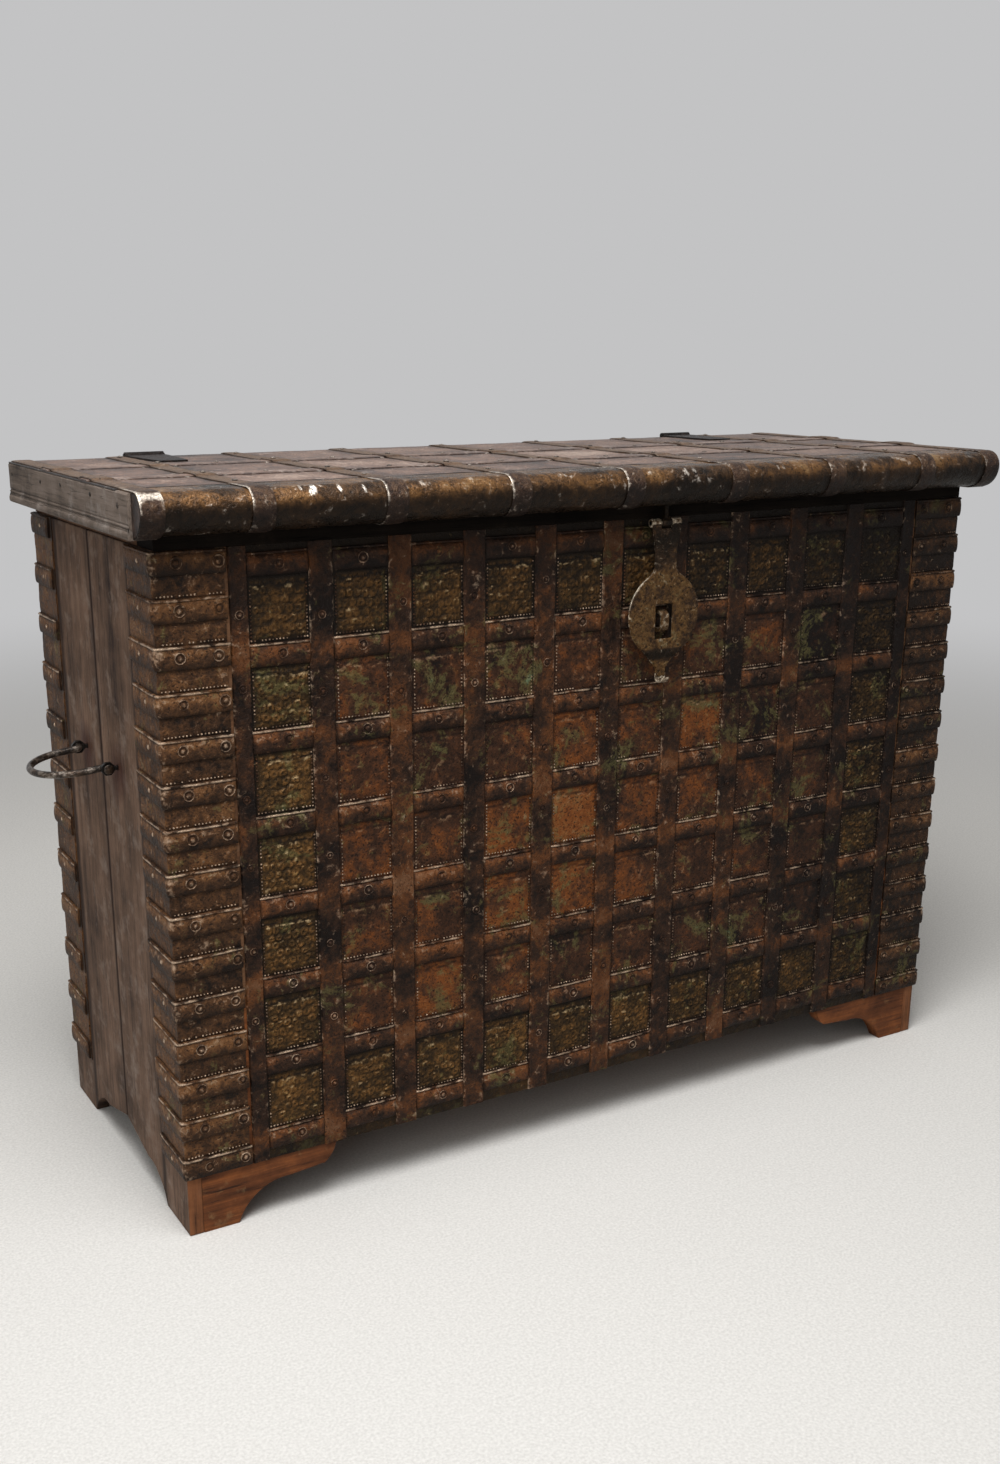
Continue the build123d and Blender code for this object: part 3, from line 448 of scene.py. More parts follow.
@dataclass(frozen=True)
class ForgedIron:
    """Hand-forged sheet iron, rusted brown over centuries and waxed: matt rust, glossy on bare metal and on painted
    highlights.
    """

    name: str
    deep: str                   # black oxide under the dirt
    body: str                   # the sheet's settled brown
    rust: str                   # fresher orange rust
    pale: str                   # dusty tan where the rust is thin
    # worn is also the colour of the painted highlights and glints.
    worn: str                   # rubbed metal on the ridges
    patina: str = "#585332"     # olive crust of old wax
    patina_share: float = 0.0
    verdigris: str = "#62785c"  # green bloom in the middle of the crust
    blotch: float = 40.0        # mm, one stain
    mottle: float = 1.1         # how much the stains change the colour
    speckle: float = 1.4        # how much the flecks change it
    fleck: float = 8.0          # mm, one fleck of scale inside a stain
    pit: float = 3.2            # mm, one rust pit; drawn twice its size so that it shows
    rough: float = 0.5
    rough_worn: float = 0.28
    metal: float = 0.15
    specular: float = 0.12      # porous rust shines less than bare metal
    relief: float = 0.7         # mm, depth of the pitting; twice the real depth so that it shows

    def build(self) -> bpy.types.Material:
        """Makes the material: stains by tone, crust, darkening in pits and hollows (soiling and painted shade), bare
        metal on the ridges and on painted highlights.

        Returns:
            The finished material, which reads the mesh's wear, grime and tone.
        """
        material, tree, shader = new_material(self.name)
        place = node(tree, "TexCoord").outputs["Object"]
        finish = node(tree, "Attribute", attribute_name="finish").outputs["Vector"]
        wear, grime, tone = node(tree, "SeparateXYZ", {0: finish}).outputs
        blotch, fleck, pits, crusting = (
            node(tree, "TexNoise", {"Vector": place, "Scale": 1 / (size * MM), "Detail": detail, "Roughness": broken,
                                    "Distortion": bent})
            for size, detail, broken, bent in ((self.blotch, 7, 0.66, 0.5), (self.fleck, 5, 0.7, 0.4),
                                               (self.pit, 3, 0.6, 0.0), (60, 8, 0.74, 0.8)))
        shade = node(tree, "Math", {0: fleck, 1: self.speckle, 2: tone}, operation="MULTIPLY_ADD")
        shade = node(tree, "Math", {0: blotch, 1: self.mottle, 2: shade}, operation="MULTIPLY_ADD")
        shade = node(tree, "Math", {0: shade, 1: 0.5 * (self.speckle + self.mottle)}, operation="SUBTRACT")
        colour = node(tree, "ValToRGB", {0: shade}, ((0.0, self.deep), (0.36, self.body), (0.68, self.rust),
                                                     (1.0, self.pale)))
        crusting = node(tree, "Math", {0: fleck, 1: 0.35, 2: crusting.outputs[0]}, operation="MULTIPLY_ADD")
        for tint, start, most in ((self.patina, 0.80, 0.65), (self.verdigris, 0.91, 0.6)):
            low = start - self.patina_share
            crust = node(tree, "MapRange", {0: crusting, 1: low, 2: low + 0.06, 3: 0.0, 4: most})
            colour = node(tree, "Mix", {0: crust, 6: colour, 7: linear(tint)}, data_type="RGBA").outputs[2]
        speck = node(tree, "MapRange", {0: pits, 1: 0.36, 2: 0.44, 3: 0.8, 4: 0.0})
        # Soiling and painted shade from the mesh, with dark pits.
        dirt_and_shade = node(tree, "Math", {0: grime, 1: speck}, operation="MAXIMUM")
        colour = node(tree, "Mix", {0: dirt_and_shade, 6: colour, 7: linear(self.deep)}, data_type="RGBA").outputs[2]
        # Bare metal where worn, and the painted highlights and glints, in the worn colour.
        rubbed_and_highlit = node(tree, "Math", {0: fleck, 1: 1.6, 2: wear}, operation="MULTIPLY_ADD")
        rubbed_and_highlit = node(tree, "MapRange", {0: rubbed_and_highlit, 1: 1.02, 2: 1.55, 3: 0.0, 4: 0.9})
        colour = node(tree, "Mix", {0: rubbed_and_highlit, 6: colour, 7: linear(self.worn)}, data_type="RGBA").outputs[2]
        gloss = node(tree, "Math", {0: fleck, 1: 0.5, 2: self.rough - 0.25}, operation="MULTIPLY_ADD")
        gloss = node(tree, "Mix", {0: rubbed_and_highlit, 2: gloss, 3: self.rough_worn})
        bare = node(tree, "Math", {0: rubbed_and_highlit, 1: 0.65, 2: self.metal}, operation="MULTIPLY_ADD")
        height = node(tree, "Math", {0: pits, 1: 0.5, 2: fleck}, operation="MULTIPLY_ADD")
        bump = node(tree, "Bump", {"Height": height, "Distance": self.relief * MM * 4})
        for key, value in (("Base Color", colour), ("Roughness", gloss.outputs[0]), ("Metallic", bare.outputs[0]),
                           ("Normal", bump.outputs[0])):
            tree.links.new(value, shader.inputs[key])
        shader.inputs["Specular IOR Level"].default_value = self.specular
        return material


class Grain(Enum):
    """Which way the fibres of a board run."""

    X = (0.05, 1.0, 1.0)
    Y = (1.0, 0.05, 1.0)
    Z = (1.0, 1.0, 0.05)


@dataclass(frozen=True)
class OldTeak:
    """Hand-sawn teak, handled and dusty: dark open grain, dry matt face, pale dust in the cracks."""

    name: str
    dark: str
    body: str
    pale: str
    dust: str
    grain: Grain
    dust_share: float = 0.25
    fibre: float = 5.0          # mm across one band of grain
    rough: float = 0.7
    specular: float = 0.15      # bare dry wood shines less than varnish
    relief: float = 0.6         # mm, depth of the open grain
    stains: tuple = ()          # Y and Z in mm of the rust that runs from an iron eye
    joints: tuple = ()          # Y of each dark upright line and half its width, both in mm
    rust: str = "#3a1a10"       # colour of that rust
    front: str = ""             # colour of the board's edge where it shows in the chest's front
    front_y: float = -207.2     # mm, where that edge begins

    def build(self) -> bpy.types.Material:
        """Makes the material: stretched grain, dry cracks along it, clouds of dust, rust under the irons.

        Returns:
            The finished material, which reads the place on the board alone.
        """
        material, tree, shader = new_material(self.name)
        place = node(tree, "TexCoord").outputs["Object"]
        along = node(tree, "Mapping", {0: place, "Scale": self.grain.value})
        bands, lines, stain, dust = (
            node(tree, "TexNoise", {"Vector": vector, "Scale": 1 / (size * MM), "Detail": detail, "Roughness": 0.68})
            for vector, size, detail in ((along, self.fibre * 4, 5), (along, self.fibre * 0.6, 4), (place, 120, 6),
                                         (place, 34, 7)))
        shade = node(tree, "Math", {0: lines, 1: 0.6, 2: bands}, operation="MULTIPLY_ADD")
        shade = node(tree, "Math", {0: stain, 1: 1.3, 2: shade}, operation="MULTIPLY_ADD")
        shade = node(tree, "MapRange", {0: shade, 1: 1.1, 2: 1.85})
        colour = node(tree, "ValToRGB", {0: shade}, ((0.0, self.dark), (0.5, self.body), (1.0, self.pale)))
        film = node(tree, "MapRange", {0: dust, 1: 0.62 - self.dust_share * 0.4, 2: 0.85, 3: 0.0, 4: 0.9})
        colour = node(tree, "Mix", {0: film, 6: colour, 7: linear(self.dust)}, data_type="RGBA").outputs[2]
        crack = node(tree, "MapRange", {0: lines, 1: 0.3, 2: 0.4, 3: 0.9, 4: 0.0})
        colour = node(tree, "Mix", {0: crack, 6: colour, 7: linear(self.dark)}, data_type="RGBA").outputs[2]
        for y, z in self.stains:
            flat = node(tree, "Mapping", {0: place, "Scale": (0.0, 1.0, 0.8)})
            away = node(tree, "VectorMath", {0: flat, 1: (0.0, y * MM, z * MM * 0.8)}, operation="DISTANCE")
            away = node(tree, "Math", {0: dust, 1: -0.05, 2: away.outputs["Value"]}, operation="MULTIPLY_ADD")
            rust = node(tree, "MapRange", {0: away, 1: -0.018, 2: 0.014, 3: 0.85, 4: 0.0})
            colour = node(tree, "Mix", {0: rust, 6: colour, 7: linear(self.rust)}, data_type="RGBA").outputs[2]
        depth = node(tree, "SeparateXYZ", {0: place}).outputs["Y"]
        for y, half in self.joints:
            away = node(tree, "Math", {0: depth, 1: y * MM}, operation="SUBTRACT")
            away = node(tree, "Math", {0: away}, operation="ABSOLUTE")
            away = node(tree, "Math", {0: dust, 1: -3 * half * MM, 2: away}, operation="MULTIPLY_ADD")
            line_share = node(tree, "MapRange", {0: away, 1: -half * MM, 2: half * MM, 3: 0.9, 4: 0.0})
            colour = node(tree, "Mix", {0: line_share, 6: colour, 7: linear(self.dark)}, data_type="RGBA").outputs[2]
        if self.front:
            edge = node(tree, "MapRange", {0: depth, 1: (self.front_y + 0.6) * MM, 2: (self.front_y - 0.6) * MM,
                                           3: 0.0, 4: 0.85})
            warm = node(tree, "ValToRGB", {0: shade}, ((0.0, self.dark), (0.6, self.front)))
            colour = node(tree, "Mix", {0: edge, 6: colour, 7: warm}, data_type="RGBA").outputs[2]
        dry = node(tree, "Math", {0: lines, 1: 0.3, 2: self.rough - 0.15}, operation="MULTIPLY_ADD")
        height = node(tree, "Math", {0: crack, 1: -0.6, 2: shade}, operation="MULTIPLY_ADD")
        bump = node(tree, "Bump", {"Height": height, "Distance": self.relief * MM})
        for key, value in (("Base Color", colour), ("Roughness", dry.outputs[0]), ("Normal", bump.outputs[0])):
            tree.links.new(value, shader.inputs[key])
        shader.inputs["Specular IOR Level"].default_value = self.specular
        return material


@dataclass
class Palette:
    """Every finish of the chest, made once."""

    # Thin sheet hammered flat: even chestnut rust, brighter where hands polished it.
    plate: ForgedIron = ForgedIron("rusted_sheet_iron", "#120b08", "#40281a", "#72401c", "#7d5a36", "#a08064",
                                   mottle=1.3, speckle=0.9, patina_share=0.08)
    # Punched sheet with old wax in its hollows: olive brown, a green bloom here and there.
    embossed: ForgedIron = ForgedIron("repousse_sheet_iron", "#130d08", "#3d2c17", "#684825", "#82673f", "#b8a07a",
                                      patina_share=0.05, mottle=1.1, speckle=1.1)
    # Thick strip drawn over a grooved block: dark brown, orange where water sat, bright lips.
    strap: ForgedIron = ForgedIron("forged_strap_iron", "#130c09", "#3a261a", "#643c20", "#755239", "#bfa68e",
                                   patina_share=0.04, blotch=32.0, mottle=1.4, speckle=1.2)
    # The same strip bent round the corners, rubbed at the bend.
    corner: ForgedIron = ForgedIron("bent_corner_iron", "#18100b", "#452e1d", "#6b482b", "#806347", "#bfa68e",
                                    patina_share=0.03, metal=0.05)
    # Sheet on the lid's top: pinkish brown, its pale colour partly dust and partly painted sheen of the light that
    # glances off it, with a dull sheen of its own too.
    lid: ForgedIron = ForgedIron("lid_sheet_iron", "#17100d", "#57433a", "#7c6254", "#9f897b", "#cbbdb4",
                                 patina_share=-0.3, mottle=1.5, blotch=70.0, rough=0.42, metal=0.3, specular=0.45,
                                 relief=0.4)
    # Soft sheet beaten over the roll, polished by hands to a gloss: golden brown, with hard glints painted on its
    # creases in the near-white worn colour.
    roll: ForgedIron = ForgedIron("rolled_sheet_iron", "#17110c", "#3d2b1b", "#644628", "#7f6444", "#efe6da",
                                  patina_share=-0.3, blotch=60.0, mottle=1.5, fleck=11.0, rough=0.3,
                                  rough_worn=0.14, metal=0.35, specular=0.15, relief=0.5)
    # Strap on the lid, waxed dark, its arrises worn bright; over the roll its left arrises are painted bright as
    # highlights.
    band: ForgedIron = ForgedIron("lid_strap_iron", "#120c09", "#33231a", "#4f3a29", "#66503e", "#d0c4b6",
                                  patina_share=-0.3, rough=0.42, metal=0.25, specular=0.2)
    # Iron left black from the forge on nails, hinges and caps.
    black: ForgedIron = ForgedIron("blackened_iron", "#100d0b", "#2b241f", "#3d322a", "#544940", "#8f8379",
                                   patina_share=-0.3, rough=0.46, specular=0.25)
    # Deeply pitted wrought iron, khaki rust with orange neck, rim and curl rubbed bright, with a painted highlight on
    # the disc's upper left rim.
    hasp: ForgedIron = ForgedIron("pitted_wrought_iron", "#18110a", "#37271a", "#5c4225", "#65563b", "#d8cbb6",
                                  patina_share=-0.05, blotch=22.0, mottle=1.0, fleck=6.0, rough=0.45, metal=0.3,
                                  specular=0.1, relief=1.0)
    # Round rod worn by hands: dark, with a long soft glint.
    handle: ForgedIron = ForgedIron("drawn_iron_rod", "#100e0c", "#2b241f", "#443222", "#5c4f45", "#b3aaa0",
                                    patina_share=-0.3, blotch=14.0, rough=0.36, rough_worn=0.2, metal=0.5,
                                    specular=0.4, relief=0.3)
    # Upright end boards: grey-brown, dry, dust in the grain, rust bled from the handle's eyes.
    side: OldTeak = OldTeak("weathered_teak", "#22140e", "#604a3b", "#806655", "#94857a", Grain.Z,
                            stains=((82.0, 543.0), (-40.0, 541.0)), joints=((19.6, 3.0), (-123.0, 4.0), (160.0, 5.0)),
                            front="#7a4a2a")
    # Lid end boards: greyer, handled, pale dust along the mouldings.
    edge: OldTeak = OldTeak("fascia_teak", "#29221d", "#64584f", "#80736a", "#9a928c", Grain.Y)
    # Feet: the warmest wood, red-brown where it is scuffed.
    foot: OldTeak = OldTeak("foot_teak", "#1e0e07", "#60371e", "#96592f", "#8f7450", Grain.X, dust_share=0.1, fibre=9.0)
    # Rail under the roll, in the lid's shadow: painted near black as the shade that falls there.
    neck: OldTeak = OldTeak("shaded_neck_teak", "#080605", "#14100d", "#1d1713", "#29211b", Grain.X, dust_share=0.0,
                            specular=0.03)
    # Boards inside, closed off from light: cleaner and paler.
    inner: OldTeak = OldTeak("inner_teak", "#33221a", "#60422d", "#7b5b42", "#857562", Grain.X, dust_share=0.15)
    made: dict = field(default_factory=dict)

    def get(self, which: str) -> bpy.types.Material:
        """The named finish's material, made at its first use.

        Args:
            which: a field of this class.

        Returns:
            The material.
        """
        if which not in self.made:
            self.made[which] = getattr(self, which).build()
        return self.made[which]


# The front's finishes that get painted shade where less light falls.
FRONT_SHADED_LOOKS = ("plate", "embossed", "strap", "corner")   # finishes that darken on the front


def painted_front_shade(points: Array) -> Array:
    """Painted shade on the front's iron, where less light falls: a smooth step over X towards the right end, stronger
    under the lid's roll.

    Args:
        points: places in metres, shape (n, 3).

    Returns:
        A column with one share per place, 0 behind the front.
    """
    right = step(points[:, 0], 0.0, 0.5)
    high = 0.8 + 0.45 * step(points[:, 2], 0.45, 0.8)
    return (right * high * step(-points[:, 1], 0.19, 0.2))[:, None]


@dataclass
class Workshop:
    """Turns gathered meshes into pieces that ride on the chest's bodies."""

    palette: Palette
    nodes: dict

    def finish(self, name: str, gather: Gather, look: str, body: str, slot: str, replaces: tuple = (),
               crease: float = 38.0) -> bpy.types.Object:
        """Makes one piece from what was gathered.

        Args:
            name: the piece's name.
            gather: its shells.
            look: the finish's name in the palette.
            body: the CAD body that it rides on.
            slot: the record's material slot; not used.
            replaces: CAD nodes that it stands for.
            crease: edges sharper than this angle in degrees stay sharp.

        Returns:
            The piece's object.
        """
        points = np.concatenate(gather.points) * MM
        sizes = np.concatenate([np.full(len(group), group.shape[1]) for group in gather.faces])
        corners = np.concatenate([group.ravel() for group in gather.faces])
        mesh = bpy.data.meshes.new(name)
        mesh.vertices.add(len(points))
        mesh.vertices.foreach_set("co", points.astype(np.float32).ravel())
        mesh.loops.add(len(corners))
        mesh.loops.foreach_set("vertex_index", corners.astype(np.int32))
        mesh.polygons.add(len(sizes))
        mesh.polygons.foreach_set("loop_start", np.concatenate([[0], np.cumsum(sizes)[:-1]]).astype(np.int32))
        mesh.polygons.foreach_set("use_smooth", np.ones(len(sizes), bool))
        mesh.update(calc_edges=True)
        finish = mesh.attributes.new("finish", "FLOAT_VECTOR", "POINT")
        values = np.concatenate(gather.finish)
        # Painted shade on the front's iron: less wear, more grime and lower tone towards the right end and under the
        # roll.
        if look in FRONT_SHADED_LOOKS:
            values = values * (1 - painted_front_shade(points) * [0.45, 0, 0]) + painted_front_shade(points) * [0, 0.15, -0.22]
        finish.data.foreach_set("vector", np.clip(values, 0, 1).astype(np.float32).ravel())
        mesh.set_sharp_from_angle(angle=math.radians(crease))
        piece = put(name, mesh)
        mesh.materials.append(self.palette.get(look))
        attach(piece, body)
        if replaces:
            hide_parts(*replaces)
        log.info("%s: %d points, %d faces", name, len(points), len(sizes))
        return piece

    def dress(self, look: str, edge: float, *names: str) -> None:
        """Gives CAD nodes a finish and, where edge is above 0 mm and the node is shown, softened edges.

        Args:
            look: the finish's name in the palette.
            edge: width of the bevel in mm.
            *names: the nodes.
        """
        for name in names:
            part = self.nodes[name]
            part.data.materials.clear()
            part.data.materials.append(self.palette.get(look))
            if edge > 0 and not part.hide_render:
                part.modifiers.new("weld", "WELD").merge_threshold = SAME_POINT * MM
                bevel = part.modifiers.new("edge", "BEVEL")
                bevel.width = edge * MM
                bevel.segments = 2
                bevel.limit_method = "ANGLE"
                bevel.angle_limit = math.radians(SHARP)


# Turned profiles of the small ironwork: rows of radius and height from the foot up, in mm.
RING_RIVET = np.array([[7.2, -0.4], [6.2, 1.25], [4.9, 0.4], [3.3, 0.5], [2.6, 1.7], [1.2, 2.3]])
ROUND_RIVET = np.array([[4.0, -0.4], [3.6, 0.9], [2.0, 1.9]])
FLAT_NAIL = ROUND_RIVET * [1, 0.7]
BEAD = np.array([[1.4, -0.25], [1.0, 0.75]])
# Their finish, one value per profile row and the top.
RIVET_GRIME = [0.6, 0, 0.6, 0.7, 0, 0, 0]
RIVET_WEAR = np.array([0.0, 0.42, 0.1, 0.0, 0.2, 0.35, 0.4])
BEAD_GRIME = [0.5, 0.0, 0.0]
BEAD_WEAR = np.array([0.0, 0.5, 0.75])
BEAD_PITCH = 4.3                # mm between two punched beads
BEADS_LOST = 0.12               # share of the beads that is rubbed away


def ring_rivets(gather: Gather, spots: Array, out: tuple, spread: Array, worn: Array, tone: float) -> None:
    """Adds rivets with a ring round a round head, worn bright on ring and head by each one's share."""
    gather.studs(spots, out, RING_RIVET, 10, spread, wear=RIVET_WEAR * worn, tone=tone, grime=RIVET_GRIME)


def punched_beads(gather: Gather, spots: Array, out: tuple, rng: np.random.Generator, worn: Array | float,
                  tone: float) -> None:
    """Adds small beads raised by a punch, each a little different in size."""
    gather.studs(spots, out, BEAD, 6, rng.uniform(0.8, 1.15, len(spots)), wear=BEAD_WEAR * worn, tone=tone,
                 grime=BEAD_GRIME)


def off_line(value: Array, first: float, pitch: float) -> Array:
    """Distance to the nearest of the evenly spaced lines first, first + pitch and so on."""
    return np.abs((value - first + pitch / 2) % pitch - pitch / 2)


@dataclass
class FrontIron:
    """The grid of plates, uprights and rows on the front."""

    shop: Workshop
    plate_face: float = -209.9
    wood_face: float = -208.7
    bottom: float = 77.0
    top: float = 826.0
    columns: int = 10
    rows: int = 8
    pitch: float = 100.0
    first_row: float = 104.0
    row_width: float = 27.0
    row_rise: float = 4.3
    row_lip: float = 2.3
    upright_width: float = 30.0
    upright_rise: float = 1.5
    end_width: float = 22.0
    gap: float = 0.5            # from a plate's end to the line on which two plates meet
    sunk: float = 0.3           # depth of a strap's foot in the plates
    boss_pitch: float = 10.5
    boss_rise: float = 2.2
    seed: int = 11

    def uprights(self) -> Array:
        """X of every upright."""
        return (np.arange(self.columns + 1) - self.columns / 2) * self.pitch

    def levels(self) -> Array:
        """Z of every row."""
        return self.first_row + self.pitch * np.arange(self.rows)

    def cell(self, column: int, row: int) -> tuple[float, float, float, float]:
        """Limits of one plate.

        Args:
            column: its column from the left.
            row: its row from below.

        Returns:
            Its lowest and highest X, then its lowest and highest Z.
        """
        edges = np.concatenate([[self.bottom], self.levels()[1:-1], [self.top]])
        x = self.uprights()
        return (x[column] + self.gap, x[column + 1] - self.gap, edges[row] + self.gap * (row > 0),
                edges[row + 1] - self.gap * (row < self.rows - 2))

    def open_between(self, column: int) -> tuple[float, float]:
        """Limits of the part of a column of plates that no upright covers.

        Args:
            column: the column from the left.

        Returns:
            Its lowest and highest X.
        """
        halves = [(self.end_width if number in (0, self.columns) else self.upright_width) / 2
                  for number in (column, column + 1)]
        return self.uprights()[column] + halves[0], self.uprights()[column + 1] - halves[1]

    def build(self) -> None:
        """Builds every piece of the front's iron."""
        self.plates()
        self.straps()
        self.cushions()
        self.rivets()

    def plates(self) -> None:
        """Every plate, the embossed ones round the edge of the field, each with its rows of beads."""
        rng = np.random.default_rng(self.seed)
        plain, embossed, beads = Gather(), Gather(), Gather()
        for column in range(self.columns):
            for row in range(self.rows - 1):
                edge = column in (0, self.columns - 1) or row in (0, self.rows - 2)
                self.plate(embossed if edge else plain, edge, column, row, rng)
                self.bead_lines(beads, column, row, rng)
        self.shop.finish("hammered_plates", plain, "plate", "chest", "plate_iron", ("front_plain_plates",))
        self.shop.finish("repousse_plates", embossed, "embossed", "chest", "plate_iron", ("front_embossed_plates",))
        self.shop.finish("plate_beading", beads, "strap", "chest", "plate_iron", crease=60)

    def plate(self, gather: Gather, edge: bool, column: int, row: int, rng: np.random.Generator) -> None:
        """One plate over a flat grid: a pillow and dents, less a torn strip at its top, plus bosses at the edge.

        A boss is a ring, boss_rise exp(-((r - 0.3) / 0.16)^2) with r the distance from its centre in
        pitches, and a ripple breaks it into crescents. Every other row of bosses is set off by half a pitch.

        Args:
            gather: takes the plate.
            edge: whether it is an embossed one.
            column: its column from the left.
            row: its row from below.
            rng: gives its own shade.
        """
        low_x, high_x, low_z, high_z = self.cell(column, row)
        count = 54 if edge else 38
        x, z = np.meshgrid(np.linspace(low_x, high_x, count), np.linspace(low_z, high_z, count))
        flat = np.stack([x, np.full_like(x, self.plate_face), z], -1)
        near = self.levels()[row] + self.pitch / 2
        left, right = self.open_between(column)
        reach = (self.pitch - self.row_width) / 2 - 1
        from_edge = np.minimum(np.minimum(x - left, right - x) - 1, reach - np.abs(z - near))
        inside = step(from_edge, 0, 9)
        rise = 0.5 * inside + 0.28 * ripple(flat, 34, 5) * inside + 0.2 * ripple(flat, 11, 6)
        torn = near + reach - 7 + 2.2 * ripple(flat * [1, 1, 0], 14, 400 + column * 9 + row)
        rise -= 0.5 * step(z, torn - 1.0, torn + 1.0)
        wear = 0.02 + 0.14 * ripple(flat, 18, 7) + 0.3 * bell(z - torn + 3.4, 1.5)
        # Painted shadow of the lid over the top row of plates.
        under_lid = 0.36 * (row == self.rows - 2)
        if edge:
            middle = self.uprights()[column:column + 2].sum() / 2
            v = (z - near) / self.boss_pitch + 0.22 * ripple(flat, 24, 10)
            u = (x - middle) / self.boss_pitch + 0.22 * ripple(flat, 26, 9) + 0.5 * (np.round(v) % 2)
            du, dv = u - np.round(u), v - np.round(v)
            boss = bell(np.hypot(du, dv) - 0.3, 0.16)
            boss = boss * np.clip(0.7 + 0.6 * ripple(flat, 11, 8 + column + row), 0, 1.2) * step(from_edge, 2, 7)
            rise += self.boss_rise * boss
            # Painted glint on each boss's upper side; the bosses are lighter and the hollows between them darker.
            wear = wear - 0.1 + 0.42 * boss * step(dv, -0.05, 0.25)
            tone, own, lid_shadow_and_hollows = 0.3 + 0.34 * boss, 0.06, under_lid + 0.36 * step(0.35 - boss, 0.0, 0.35)
        else:
            glow = math.exp(-((column - 4.6) / 3.0) ** 2 - ((row - 3.3) / 1.6) ** 2)
            tone, own, lid_shadow_and_hollows = 0.32 + 0.24 * glow, 0.1, under_lid
        flat[..., 1] -= rise
        outside = np.maximum(self.levels()[0] - z, z - self.levels()[-1])
        # Painted shade in the crevice beside the uprights and the rows; also a dark line along the tear.
        crevice_shade = 0.8 * (1 - step(from_edge, -1, 3)) * (1 - 0.7 * step(outside, 4, 8))
        gather.slab(flat, (self.wood_face - 0.05 - self.plate_face) * Y_AXIS, wear=wear,
                    grime=np.maximum(crevice_shade, 0.85 * bell(z - torn, 1.6)) + lid_shadow_and_hollows,
                    tone=tone + own * np.clip(rng.normal(), -1.5, 1.5) + 0.08 * ripple(flat, 60, 12))

    def bead_lines(self, beads: Gather, column: int, row: int, rng: np.random.Generator) -> None:
        """Punched beads beside the uprights and along the row under one plate, a few worn away.

        Args:
            beads: takes the beads.
            column: the plate's column from the left.
            row: its row from below.
            rng: tells which beads are lost, how far the lines stray, and the beads' sizes.
        """
        left, right = np.array(self.open_between(column)) + [3.0, -3.0]
        low = self.levels()[row] + self.row_width / 2 + 2.6
        high = self.levels()[row + 1] - self.row_width / 2 - 2.0
        z, x = np.arange(low, high, BEAD_PITCH), np.arange(left, right, BEAD_PITCH)
        places = np.concatenate([np.stack([np.full_like(z, side), z], 1) for side in (left, right)]
                                + [np.stack([x, np.full_like(x, low)], 1)])
        places = places[rng.random(len(places)) > BEADS_LOST] + rng.normal(0, 0.22, 2)
        spots = np.stack([places[:, 0], np.full(len(places), self.plate_face - 0.12), places[:, 1]], 1)
        # The beads along the top of the row are brighter than those beside the uprights: worn, and partly a painted
        # highlight along the row's top.
        worn = np.where(places[:, 1] < low + 1, 0.95, 0.68) * np.clip(0.8 + 0.7 * ripple(spots, 30, 13), 0.1, 1.2)
        punched_beads(beads, spots, (0, -1, 0), rng, worn[:, None], 0.35)

    def straps(self) -> None:
        """Uprights: a shallow channel with rounded lips, carried from the iron's foot to its top."""
        straps = Gather()
        z = np.linspace(self.bottom, self.top, 150)
        u = np.linspace(-1, 1, 17)
        lip = np.append(np.abs(u) ** 6, [0, 0])[None]
        rounded = np.abs(u) ** 3 * np.sqrt(np.clip(1 - np.abs(u) ** 9, 0, 1))
        height = self.upright_rise + self.upright_rise * rounded - 1.3 * np.abs(u) ** 16
        for number, x in enumerate(self.uprights()):
            last = number in (0, self.columns)
            half = (self.end_width if last else self.upright_width) / 2
            section = np.concatenate([np.stack([u * half, height], 1), [[half, -self.sunk], [-half, -self.sunk]]])
            run = np.stack([np.full_like(z, x), np.zeros_like(z), z], 1)
            path = np.stack([x + 0.7 * ripple(run, 160, 21), np.full_like(z, self.plate_face), z], 1)
            rings = carried(path, X_AXIS, -Y_AXIS, section)
            rings[:, 1:16, 1] -= 0.35 * ripple(rings[:, 1:16], 26, 22) + 0.12 * ripple(rings[:, 1:16], 7, 23)
            crossing = bell(off_line(z[:, None], self.first_row, self.pitch), 15)
            bright = np.clip(0.7 + 0.8 * ripple(rings, 45, 27), 0, 1.3)
            # grime: soiling in the channel, and painted shadow of the lid towards the top.
            straps.bar(rings, wear=0.02 + 0.24 * lip * bright + 0.1 * ripple(rings, 30, 24),
                       grime=0.25 * (1 - lip) + 0.4 * step(rings[..., 2], 720, 815),
                       tone=0.3 - 0.12 * last + 0.24 * crossing * (1 + ripple(rings, 90, 26))
                       + 0.22 * ripple(rings, 120, 25))
        self.shop.finish("upright_channels", straps, "strap", "chest", "strap_iron", ("front_upright_straps",))

